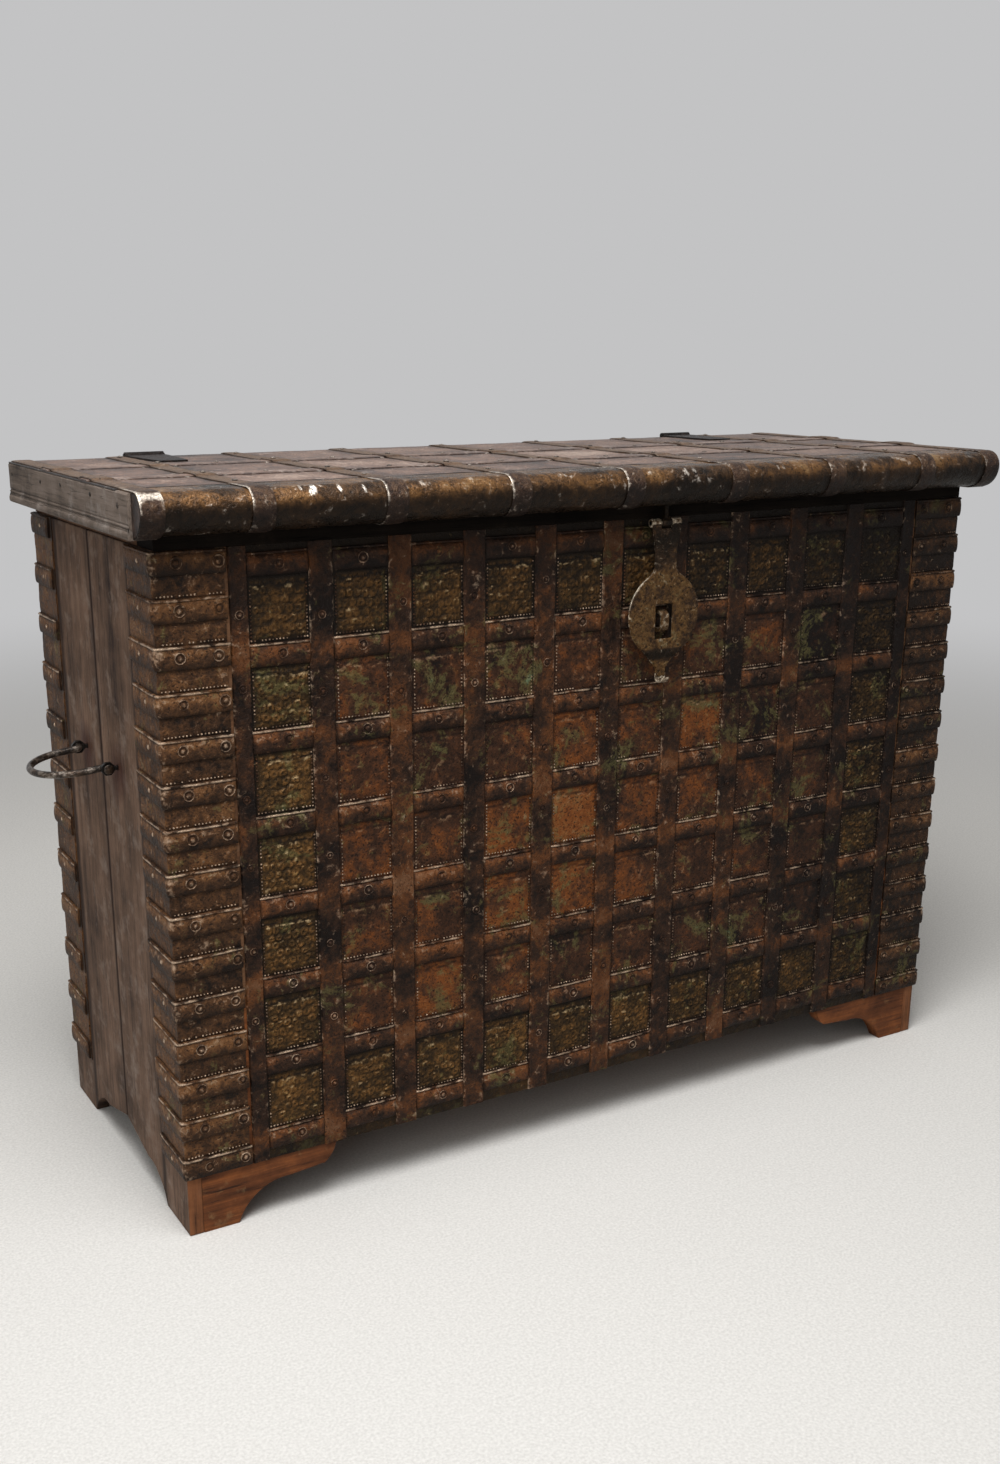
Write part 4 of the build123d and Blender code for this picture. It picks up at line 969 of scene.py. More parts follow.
    def cushions(self) -> None:
        """Rows: half-round segments between the uprights, a thin lip above each, ends dying into the plates."""
        rng = np.random.default_rng(self.seed + 1)
        cushions = Gather()
        half = self.row_width / 2
        section, lip, flank = ridge(half, self.row_rise, self.row_lip, -self.sunk)
        foot = step(-section[:, 0] / half, 0.3, 1.0)[None]
        for column in range(self.columns):
            low, high = np.array(self.open_between(column)) + [-0.6, 0.6]
            x = np.linspace(low, high, 26)
            end = np.minimum(x - low, high - x)[:, None]
            share = np.sqrt(np.clip(end / 5.0, 0, 1)) * 0.85 + 0.15
            each = section[None] * np.stack([np.ones_like(share), share], -1)
            for level in self.levels():
                z = level + rng.uniform(-0.9, 0.9) + rng.uniform(-0.012, 0.012) * (x - low)
                rings = carried(np.stack([x, np.full_like(x, self.plate_face), z], 1), Z_AXIS, -Y_AXIS, each)
                rings[:, :-2, 1] -= (0.3 * ripple(rings[:, :-2], 20, 31) + 0.12 * ripple(rings[:, :-2], 6, 32)) * share
                # shade: painted shadow of the lid over the top rows, which also dims the lips.
                shade = step(rings[..., 2], 700, 815)
                # Painted highlight on the lit upper flank in wear and tone; painted shade on the lower side (foot) and
                # where the ends meet the uprights.
                cushions.bar(rings, wear=0.02 + (0.16 * flank + 0.68 * lip) * patchy(rings, 33) * (1 - 0.8 * shade),
                             grime=np.maximum(0.6 * foot, 0.8 * (1 - step(end, 0, 4))) + 0.35 * shade,
                             tone=0.28 + 0.08 * rng.normal() + 0.26 * flank + 0.16 * (1 - step(end, 2, 14)))
        self.shop.finish("row_cushions", cushions, "strap", "chest", "strap_iron", ("front_row_straps",))

    def rivets(self) -> None:
        """Ringed rivets in the middle of each row segment, and smaller ones down the uprights."""
        rng = np.random.default_rng(self.seed + 2)
        rivets = Gather()
        x = self.uprights()[:-1] + self.pitch / 2
        grid = np.stack(np.meshgrid(x, self.levels()), -1).reshape(-1, 2)
        count = len(grid)
        grid = grid + rng.uniform(-4, 4, (count, 1)) * [1, 0]
        spots = np.stack([grid[:, 0], np.full(count, self.plate_face - self.row_rise + 0.5), grid[:, 1] + 0.5], 1)
        ring_rivets(rivets, spots, (0, -1, 0), rng.uniform(0.88, 1.05, count), rng.uniform(0.2, 1.2, (count, 1)), 0.4)
        grid = np.stack(np.meshgrid(self.uprights(), self.levels()[:-1] + self.pitch / 2), -1).reshape(-1, 2)
        grid = grid[rng.random(len(grid)) < 0.8]
        grid = grid + rng.normal(0, (1.5, 9), grid.shape)
        count = len(grid)
        spots = np.stack([grid[:, 0], np.full(count, self.plate_face - 1.6), grid[:, 1]], 1)
        ring_rivets(rivets, spots, (0, -1, 0), rng.uniform(0.66, 0.85, count), rng.uniform(0, 1.1, (count, 1)), 0.36)
        self.shop.finish("front_rivets", rivets, "strap", "chest", "strap_iron", crease=50)


@dataclass
class CornerIron:
    """Iron strips bent round the four corners over a bent sheet."""

    shop: Workshop
    half_width: float = 600.0
    front: float = -212.9
    back: float = 252.1
    bottom: float = 77.0
    top: float = 826.0
    reach: float = 88.0
    strip_height: float = 26.0
    strip_rise: float = 1.9
    strip_lip: float = 1.6
    strip_base: float = -0.9
    thickness: float = 3.0
    sheet: float = 1.15         # thickness of the sheet under the strips
    front_count: int = 15       # strips of one corner at the front, and below at the back
    back_count: int = 12
    bend: float = 4.0
    rivet_places: tuple = (29.0, 76.0)  # from the corner
    seed: int = 31

    def route(self, side_x: int, side_y: int, inset: float, side_reach: float, face_reach: float,
              count: int) -> tuple[Array, Array]:
        """An L round one corner, from the end of the chest to its face: straight, quarter round, straight.

        Args:
            side_x: -1 for the left end, 1 for the right.
            side_y: -1 for the front, 1 for the back.
            inset: how far inside the iron's outer face it runs.
            side_reach: its length on the chest's end.
            face_reach: its length on the front or back.
            count: points on each straight.

        Returns:
            Points in plan and their outward directions, both of shape (n, 3).
        """
        r = self.bend
        end = line((0, side_reach), (0, r), count)
        turn = arc((r, r), r, 180, 270, 6)
        face = line((r, 0), (face_reach, 0), count)
        plan = np.concatenate([end, turn, face, [[face_reach, 0]]])
        out = np.concatenate([np.tile([-1.0, 0], (count, 1)), (turn - [r, r]) / r, np.tile([0, -1.0], (count + 1, 1))])
        plan = plan - out * inset
        corner = np.array([side_x * self.half_width, self.face(side_y)])
        turned = np.array([-side_x, -side_y], float)
        zero = np.zeros((len(plan), 1))
        return np.hstack([corner + plan * turned, zero]), np.hstack([out * turned, zero])

    def pitch(self, count: int) -> float:
        """Distance from one strip to the next where count strips share the height."""
        return (self.top - self.bottom - self.strip_height) / (count - 1)

    def face(self, side_y: int) -> float:
        """Y of the iron's outer face."""
        return self.front if side_y < 0 else self.back

    def build(self) -> None:
        """Builds strips, sheets, beading and rivets of every corner."""
        beads, rivets = Gather(), Gather()
        for end, side_x in (("left", -1), ("right", 1)):
            for wall, side_y, count in (("front", -1, self.front_count), ("back", 1, self.back_count)):
                self.strips(f"{wall}_{end}", side_x, side_y, count, rivets)
                self.skin(f"{wall}_{end}", side_x, side_y, count, beads)
        self.shop.finish("corner_beading", beads, "corner", "chest", "plate_iron", crease=60)
        self.shop.finish("corner_rivets", rivets, "corner", "chest", "strap_iron", crease=50)

    def strips(self, name: str, side_x: int, side_y: int, count: int, rivets: Gather) -> None:
        """Raised strips: a half-round section with a lip along its upper edge, bent round the corner.

        Args:
            name: the wall and the end that meet at the corner.
            side_x: -1 for the left end, 1 for the right.
            side_y: -1 for the front, 1 for the back.
            count: strips, one above the other.
            rivets: takes their rivets.
        """
        rng = np.random.default_rng(self.seed + side_x + 3 * side_y)
        strips = Gather()
        half = self.strip_height / 2
        section, lip, flank = ridge(half, self.strip_rise, self.strip_lip, -self.thickness, self.strip_base)
        foot = step(-section[:, 0] / half, 0.2, 1.0)[None]
        ragged, shorter = (5, 0) if side_y < 0 else (14, 6)
        lowest, highest = self.bottom + half + 0.2, self.top - half - 0.4
        for number in range(count):
            level = self.bottom + half + number * self.pitch(count)
            side_reach = self.reach - abs(rng.normal(0, ragged * 0.5)) - shorter
            path, out = self.route(side_x, side_y, 0.0, max(side_reach, 55), self.reach - rng.uniform(0, 1.5), 16)
            sway = rng.uniform(-0.014, 0.014)
            turn = np.abs(path[:, 0] - side_x * self.half_width) - np.abs(path[:, 1] - self.face(side_y))
            path[:, 2] = np.clip(level + sway * turn + 0.5 * ripple(path + [0, 0, level], 70, 41), lowest, highest)
            share = np.ones((len(path), 1))
            share[[0, -1]] = 0.35
            low = -1.2                                  # the strip's ends die down to this height
            each = np.stack([np.tile(section[:, 0], (len(path), 1)),
                             np.where(section[:, 1] > -2, low + (section[:, 1] - low) * share, section[:, 1])], -1)
            rings = carried(path, Z_AXIS, out, each)
            dents = 0.28 * ripple(rings[:, :-2], 22, 42) + 0.1 * ripple(rings[:, :-2], 7, 43)
            rings[:, :-2] += out[:, None] * dents[..., None]
            # shade: painted shadow of the lid towards the top, which also dims the lips.
            shade = step(rings[..., 2], 720, 815)
            # Painted highlight on the lit upper flank and painted shade on the lower side (foot); the wear at the bend
            # is real.
            strips.bar(rings, wear=0.02 + (0.18 * flank + 0.7 * lip) * patchy(rings, 44) * (1 - 0.8 * shade)
                       + 0.22 * bell(turn, 7)[:, None], grime=0.65 * foot + 0.3 * shade,
                       tone=0.35 + 0.1 * rng.normal() + 0.26 * flank + 0.04 * (turn < 0)[:, None])
            places = np.array(self.rivet_places) + rng.uniform(-3, 3, 2)
            spots = np.stack([side_x * (self.half_width - places), np.full(2, self.face(side_y) + side_y * 0.6),
                              np.clip(level + sway * places, lowest, highest)], 1)
            ring_rivets(rivets, spots, (0, side_y, 0), rng.uniform(0.95, 1.12, 2), rng.uniform(0.5, 1.25, (2, 1)), 0.42)
            spot = [side_x * (self.half_width + 0.3), self.face(side_y) - side_y * rng.uniform(36, 48), level]
            rivets.studs(np.array([spot]), (side_x, 0, 0), ROUND_RIVET, 8, 0.8, wear=[0.2, 0.5, 0.7, 0.8], tone=0.3)
        self.shop.finish(f"{name}_corner_bands", strips, "corner", "chest", "strap_iron", (f"{name}_corner_strips",))

    def skin(self, name: str, side_x: int, side_y: int, count: int, beads: Gather) -> None:
        """The sheet under the strips: the same L carried up and dented between the strips, with rows of beads.

        Args:
            name: the wall and the end that meet at the corner.
            side_x: -1 for the left end, 1 for the right.
            side_y: -1 for the front, 1 for the back.
            count: strips on it, one above the other.
            beads: takes the beads over each strip.
        """
        reach = self.reach - self.thickness
        path, out = self.route(side_x, side_y, self.thickness, reach, reach, 22)
        z = np.linspace(self.bottom, self.top, 170)
        grid = np.repeat(path[None], len(z), 0)
        grid[..., 2] = z[:, None]
        pitch, half = self.pitch(count), self.strip_height / 2
        between = step(off_line(z - self.bottom, half, pitch), half - 1, half + 5)[:, None]
        rise = between * (0.7 + 0.4 * ripple(grid, 30, 51) + 0.15 * ripple(grid, 8, 52))
        sheet = Gather()
        # Darker along the edges of each strip.
        sheet.sheet(grid + out[None] * rise[..., None], grid - out[None] * self.sheet,
                    wear=0.04 + 0.1 * ripple(grid, 20, 54), grime=0.8 * (1 - between),
                    tone=0.38 + 0.14 * ripple(grid, 130, 53) + 0.06 * (np.abs(out[:, 0]) > 0.7)[None])
        self.shop.finish(f"{name}_corner_wrap", sheet, "corner", "chest", "plate_iron", (f"{name}_corner_sheet",))
        tops = self.bottom + self.strip_height + pitch * np.arange(count - 1) + 2.8
        x, level = (value.ravel() for value in np.meshgrid(np.arange(7.0, self.reach - 4, BEAD_PITCH), tops))
        face_y = self.face(side_y) - side_y * (self.thickness - 0.75)
        spots = np.stack([side_x * (self.half_width - x), np.full_like(x, face_y), level], 1)
        rng = np.random.default_rng(self.seed + 7)
        spots = spots[rng.random(len(spots)) > BEADS_LOST]
        punched_beads(beads, spots, (0, side_y, 0), rng, 1.0, 0.4)


@dataclass
class LidIron:
    """Plates, straps, rolled front edge and mouldings of the lid."""

    shop: Workshop
    half: float = 626.0
    neck_half: float = 594.0
    roll_half: float = 620.0
    back: float = 247.1
    plank_front: float = -188.9
    plate_top: float = 890.4
    wood_top: float = 889.2
    fascia_bottom: float = 840.5
    fascia_front: float = -226.9
    nose: float = 871.0
    upper_centre: float = -235.5
    lower_centre: float = -226.4
    upper_radius: float = 18.2
    lower_radius: float = 27.3
    heel: float = -212.2
    strap_width: float = 27.0
    strap_pitch: float = 161.5
    strap_count: int = 7
    long_width: float = 34.0
    long_shares: tuple = (0.27, 0.63)
    thickness: float = 2.0
    plate_gap: float = 0.5      # from a sheet's end to the line on which two sheets meet
    skin_out: float = 1.2       # the roll sheets' faces lie this far outside the wooden core's outline
    skin_in: float = 0.12
    seed: int = 51

    def straps(self) -> Array:
        """X of the cross straps, without the two end bands."""
        return (np.arange(self.strap_count) - (self.strap_count - 1) / 2) * self.strap_pitch

    def long_places(self) -> Array:
        """Y of the long straps' centrelines."""
        return self.plank_front + np.array(self.long_shares) * (self.back - self.plank_front)

    def roll(self, s: Array, grow: float) -> tuple[Array, Array]:
        """The roll's outline in Y and Z at length s from the plank's edge, grown outwards.

        Straight over the top, a quarter round down to the nose, a wider quarter round under it,
        and straight back to the heel.

        Args:
            s: lengths in mm.
            grow: how far outside the wooden core's outline, in mm.

        Returns:
            Points and outward directions, both with Y and Z last.
        """
        top = self.plank_front - self.upper_centre
        r1, r2 = self.upper_radius + grow, self.lower_radius + grow
        a1 = np.clip((s - top) / r1, 0, np.pi / 2)
        a2 = np.clip((s - top - r1 * np.pi / 2) / r2, 0, np.pi / 2)
        tail = np.maximum(s - top - (r1 + r2) * np.pi / 2, 0)
        lower = s > top + r1 * np.pi / 2
        y = np.where(lower, self.lower_centre - r2 * np.cos(a2) + tail,
                     np.where(s < top, self.plank_front - s, self.upper_centre - r1 * np.sin(a1)))
        z = np.where(lower, self.nose - r2 * np.sin(a2), self.nose + r1 * np.cos(a1))
        angle = a1 + a2
        return np.stack([y, z], -1), np.stack([-np.sin(angle), np.cos(angle)], -1)

    def roll_length(self, grow: float, trimmed: bool) -> float:
        """Length of the roll's outline.

        Args:
            grow: how far outside the wooden core's outline, in mm.
            trimmed: whether it ends at the fascia's front end, and not at the heel.

        Returns:
            Length in mm.
        """
        top = self.plank_front - self.upper_centre
        r1, r2 = self.upper_radius + grow, self.lower_radius + grow
        quarter = np.pi / 2
        if trimmed:
            return top + r1 * quarter + r2 * (quarter - math.asin((self.lower_centre - self.fascia_front + 0.4) / r2))
        return top + (r1 + r2) * quarter + self.heel - self.lower_centre

    def build(self) -> None:
        """Builds every piece of the lid's iron and its end boards."""
        self.skin()
        self.plates()
        self.cross_bands()
        self.long_bands()
        self.fascias()

    def skin(self) -> None:
        """Sheets bent over the roll: the outline carried along X, crinkled and dented along its normals."""
        gather = Gather()
        seams = [-self.roll_half, *self.straps()[1::2], self.roll_half]
        cut = self.neck_half - 0.3                      # beyond it the sheet ends at the fascia
        for low, high in zip(seams[:-1], seams[1:]):
            x = np.linspace(low + self.plate_gap, high - self.plate_gap, int((high - low) / 3.2))
            cuts = [v for v in (-cut - 0.1, -cut + 0.1, cut - 0.1, cut + 0.1) if low < v < high]
            x = np.sort(np.concatenate([x, cuts]))[:, None]
            length = np.where(np.abs(x) > cut, self.roll_length(self.skin_out, True),
                              self.roll_length(self.skin_out, False))
            t = np.linspace(0, 1, 56)[None]
            places, outs = self.roll(t * length, self.skin_out)
            outer, out = from_plane(x, places), from_plane(0.0, outs)
            inner = from_plane(x, self.roll(t * length, self.skin_in)[0])
            fluting = ripple(outer * [1, 0.25, 0.25], 13, 62)
            crinkle = (0.6 * ripple(outer * [1, 2.2, 2.2], 42, 61) + 0.3 * ripple(outer, 9, 63)
                       + 0.75 * fluting * np.clip(ripple(outer * [1, 0.2, 0.2], 150, 65) + 0.4, 0, 1.4))
            fade = np.minimum(1, np.minimum(t * 12, (1 - t) * 12))
            outer = outer + out * (np.clip(crinkle, -1.6, 1.5) * fade * 0.9 - 0.15)[..., None]
            # under: the roll's underside, which gets painted shade: grime, lower tone, no wear.
            under = step(-out[..., 2], -0.45, 0.25)
            glint_cluster = step(ripple(outer * [1, 0.2, 0.2], 150, 3523), -0.1, 1.1)
            glint_strokes = step(ripple(outer * [1, 0.12, 0.12], 9, 66), 0.4, 1.3)
            # Painted highlights on the crinkles' crests and painted glints in vertical strokes on the upper nose.
            wear = 0.02 + 0.22 * np.clip(crinkle, 0, 1) * (1 - under) + 1.0 * glint_strokes * glint_cluster * bell(t - 0.44, 0.05)
            gather.sheet(outer, inner, wear=wear, grime=0.7 * under,
                         tone=0.48 - 0.34 * under + 0.2 * ripple(outer, 90, 64))
        self.shop.finish("roll_skin", gather, "roll", "lid", "roll_iron", ("roll_sheets",))

    def plates(self) -> None:
        """Lid plates: flat grids, gently dented, each closed behind, and the nails round them."""
        gather, nails = Gather(), Gather()
        rng = np.random.default_rng(self.seed)
        xs = np.concatenate([[-self.half + 2], self.straps(), [self.half - 2]])
        ys = np.concatenate([[self.plank_front + 0.5], self.long_places(), [self.back]])
        strap, wide, gap = self.strap_width / 2, self.long_width / 2, self.plate_gap
        for x0, x1 in zip(xs[:-1], xs[1:]):
            for y0, y1 in zip(ys[:-1], ys[1:]):
                x, y = np.meshgrid(np.linspace(x0 + gap, x1 - gap, 50), np.linspace(y0 + gap, y1 - gap, 50))
                grid = np.stack([x, y, np.full_like(x, self.plate_top)], -1)
                reach = [max(x0, -self.roll_half + strap) + strap, min(x1, self.roll_half - strap) - strap,
                         y0 + wide * (y0 > self.plank_front + 1), y1 - wide * (y1 < self.back)]
                border = np.minimum(np.minimum(x - reach[0], reach[1] - x), np.minimum(y - reach[2], reach[3] - y))
                inside = step(border, -10, 12)
                grid[..., 2] += inside * (0.45 * ripple(grid, 60, 71) + 0.15 * ripple(grid, 14, 72) + 0.3) - 0.05
                # Painted shade of the straps' lifted edges along each plate's border; tone lighter away from them.
                gather.slab(grid, (self.wood_top + 0.05 - self.plate_top) * Z_AXIS,
                            wear=0.2 * ripple(grid, 45, 73), grime=0.9 * (1 - step(border, 1.5, 6)),
                            tone=0.42 + 0.12 * rng.normal() + 0.14 * step(border, 4, 40))
        self.shop.finish("lid_top_sheets", gather, "lid", "lid", "lid_iron", ("lid_plates",))
        rows = self.long_places()
        spots = [[x + side * 22, y + push, self.plate_top + 0.2] for x in self.straps() for side in (-1, 1)
                 for y in rows for push in (-23.0, 23.0)]
        spots += [[x, y, self.plate_top + 2.2 + 2 * any(abs(y - row) < 20 for row in rows)]
                  for x in self.straps() for y in (*rows, self.plank_front + 20, self.back - 20)]
        spots += [[x, y, self.plate_top + 2.1] for x in self.straps()[:-1] + self.strap_pitch / 2 for y in rows]
        spots = np.array(spots) + rng.normal(0, 1, (len(spots), 3)) * [1.5, 1.5, 0]
        nails.studs(spots, (0, 0, 1), FLAT_NAIL, 8, rng.uniform(0.7, 1.0, len(spots)),
                    wear=[0.1, 0.5, 0.7, 0.8], tone=0.2, grime=[0.6, 0.2, 0, 0])
        self.shop.finish("lid_nails", nails, "black", "lid", "lid_iron", crease=60)

    def cross_bands(self) -> None:
        """Straps over the lid and the roll: a flat crowned section carried along, its edge lifting here and there."""
        cross = Gather()
        u = np.linspace(-1, 1, 9)
        edge = np.append(np.abs(u) ** 7, [0, 0])[None]
        left = np.append(u < 0, [False, False])[None]
        half, wide = self.strap_width / 2 - 0.3, self.long_width / 2
        rng = np.random.default_rng(self.seed + 1)
        start = self.back - 2.0
        flat = start - self.plank_front
        ends = (self.roll_half - self.strap_width / 2) * np.array([-1, 1])
        for x in [*self.straps(), *ends]:
            trimmed = abs(x) > self.neck_half - 30
            total = flat + self.roll_length(self.skin_out, trimmed) - (0 if trimmed else 1.5)
            s = np.concatenate([np.linspace(0, flat, 150)[:-1], np.linspace(flat, total, 60)])
            places, outs = self.roll(np.maximum(s - flat, 0), self.skin_out)
            y = np.where(s < flat, start - s, places[:, 0])
            over = sum(step(-np.abs(y - row), -wide - 7, -wide - 0.3) for row in self.long_places())
            z = np.where(s < flat, self.plate_top + 2.0 * over, places[:, 1])
            run = np.stack([np.full_like(s, x), s, np.zeros_like(s)], 1)
            path = np.stack([x + 0.9 * ripple(run, 150, 81), y, z], 1)
            out = from_plane(0.0, outs)
            lift = np.clip(ripple(run, 70, 82 + int(rng.integers(9))), 0, 1) * (s > 8)
            lifted = 0.9 * (s < flat)[:, None] * lift[:, None] * np.abs(u[None]) ** 3 * (u[None] < 0)
            top = self.thickness - 0.35 - 0.7 * np.abs(u[None]) ** 8 + lifted
            section = np.stack([np.broadcast_to(u * half, top.shape), top], -1)
            foot = np.broadcast_to([[half, 0.15], [-half, 0.15]], (len(s), 2, 2))
            rings = carried(path, X_AXIS, out, np.concatenate([section, foot], 1))
            rings[:, 1:8] += out[:, None] * (0.16 * ripple(rings[:, 1:8], 18, 83))[..., None]
            under = step(-out[:, 2], -0.35, 0.3)[:, None]
            on_roll = step(-y, 180, 215)[:, None]
            # lit: painted highlight on the bands' left edges over the roll, fading to the right and off the underside.
            lit = (0.15 + 0.55 * left) * (1 - 0.65 * step(x, -150, 250)) * edge * on_roll * (1 - 0.85 * under)
            # A painted highlight across the left end band's upper nose.
            lit = lit + 0.7 * (x < 30 - self.neck_half) * bell(s - flat - 60, 5)[:, None]
            # Painted shade on the roll's underside and along the edges on the lid's top; tone lighter on the lid's top
            # as painted sheen.
            cross.bar(rings, wear=0.06 + lit + 0.1 * ripple(rings, 30, 84),
                      grime=0.5 * under * on_roll + 0.6 * edge * (1 - on_roll),
                      tone=0.5 - 0.25 * under * on_roll + 0.4 * (1 - on_roll))
        self.shop.finish("cross_bands", cross, "band", "lid", "strap_iron", ("lid_cross_straps",))

    def long_bands(self) -> None:
        """Straps along the lid: a flat crowned section carried from end to end."""
        long_bands = Gather()
        u = np.linspace(-1, 1, 9)
        edge = np.append(np.abs(u) ** 5, [0, 0])[None]
        half = self.long_width / 2 - 0.6
        top = self.thickness - 0.1 - 0.9 * np.abs(u) ** 8
        section = np.concatenate([np.stack([u * half, top], 1), [[half, 0.1], [-half, 0.1]]])
        x = np.linspace(-self.half + 3.2, self.half - 3.2, 260)
        for y in self.long_places():
            run = np.stack([x, np.full_like(x, y), np.zeros_like(x)], 1)
            path = np.stack([x, y + 0.9 * ripple(run, 220, 85), np.full_like(x, self.plate_top)], 1)
            rings = carried(path, -Y_AXIS, Z_AXIS, section)
            # grime at the edges: painted shade of the lifted edges.
            long_bands.bar(rings, wear=0.15 + 0.1 * ripple(rings, 40, 86), grime=0.7 * edge, tone=0.55)
        self.shop.finish("long_bands", long_bands, "lid", "lid", "strap_iron", ("lid_long_straps",))

    def fascias(self) -> None:
        """End boards of the lid: a moulded section carried from front to back, a bead and two grooves at its foot."""
        bottom, height = self.fascia_bottom, self.wood_top - self.fascia_bottom
        z = np.concatenate([np.linspace(0, 9, 10), np.linspace(9.4, 18, 16), np.linspace(20, height - 2, 6), [height]])
        bead = 2.0 * np.sqrt(np.clip(1 - ((z - 4.5) / 4.5) ** 2, 0, 1))
        groove = 0.9 * bell(z - 11.4, 0.8) + 0.9 * bell(z - 15.6, 0.8) - 0.5 * bell(z - 13.5, 1.2)
        round_top = 1.4 * np.clip((z - height + 2) / 2, 0, 1) ** 2
        face = self.half - 2.0 + bead - groove * (z > 9) - round_top
        outline = np.concatenate([np.stack([face, z + bottom], 1),
                                  [[self.neck_half, self.wood_top], [self.neck_half, bottom]]])
        y = np.linspace(self.fascia_front, self.back, 140)[:, None]
        for name, side in (("left", -1), ("right", 1)):
            rings = np.stack(np.broadcast_arrays(side * outline[None, :, 0], y, outline[None, :, 1]), -1)
            dent = 0.3 * ripple(rings, 60, 91) + 0.12 * ripple(rings, 9, 92)
            rings[:, :-2, 0] -= side * np.clip(dent + 0.15, 0, 2)[:, :-2]
            board, nails = Gather(), Gather()
            board.bar(rings, wear=0.2, tone=0.5)
            self.shop.finish(f"{name}_moulded_end", board, "edge", "lid", "lid_teak", (f"{name}_fascia",), crease=30)
            rng = np.random.default_rng(self.seed + side)
            at = np.linspace(self.fascia_front + 28, self.back - 30, 5)
            spots = np.stack([np.full(5, side * (self.half - 2.1)), at + rng.normal(0, 9, 5),
                              self.wood_top - 14 + rng.normal(0, 5, 5)], 1)
            nails.studs(spots, (side, 0, 0), FLAT_NAIL, 8, rng.uniform(0.6, 0.9, 5), wear=0.0, tone=0.4)
            self.shop.finish(f"{name}_end_nails", nails, "black", "lid", "lid_iron", crease=60)


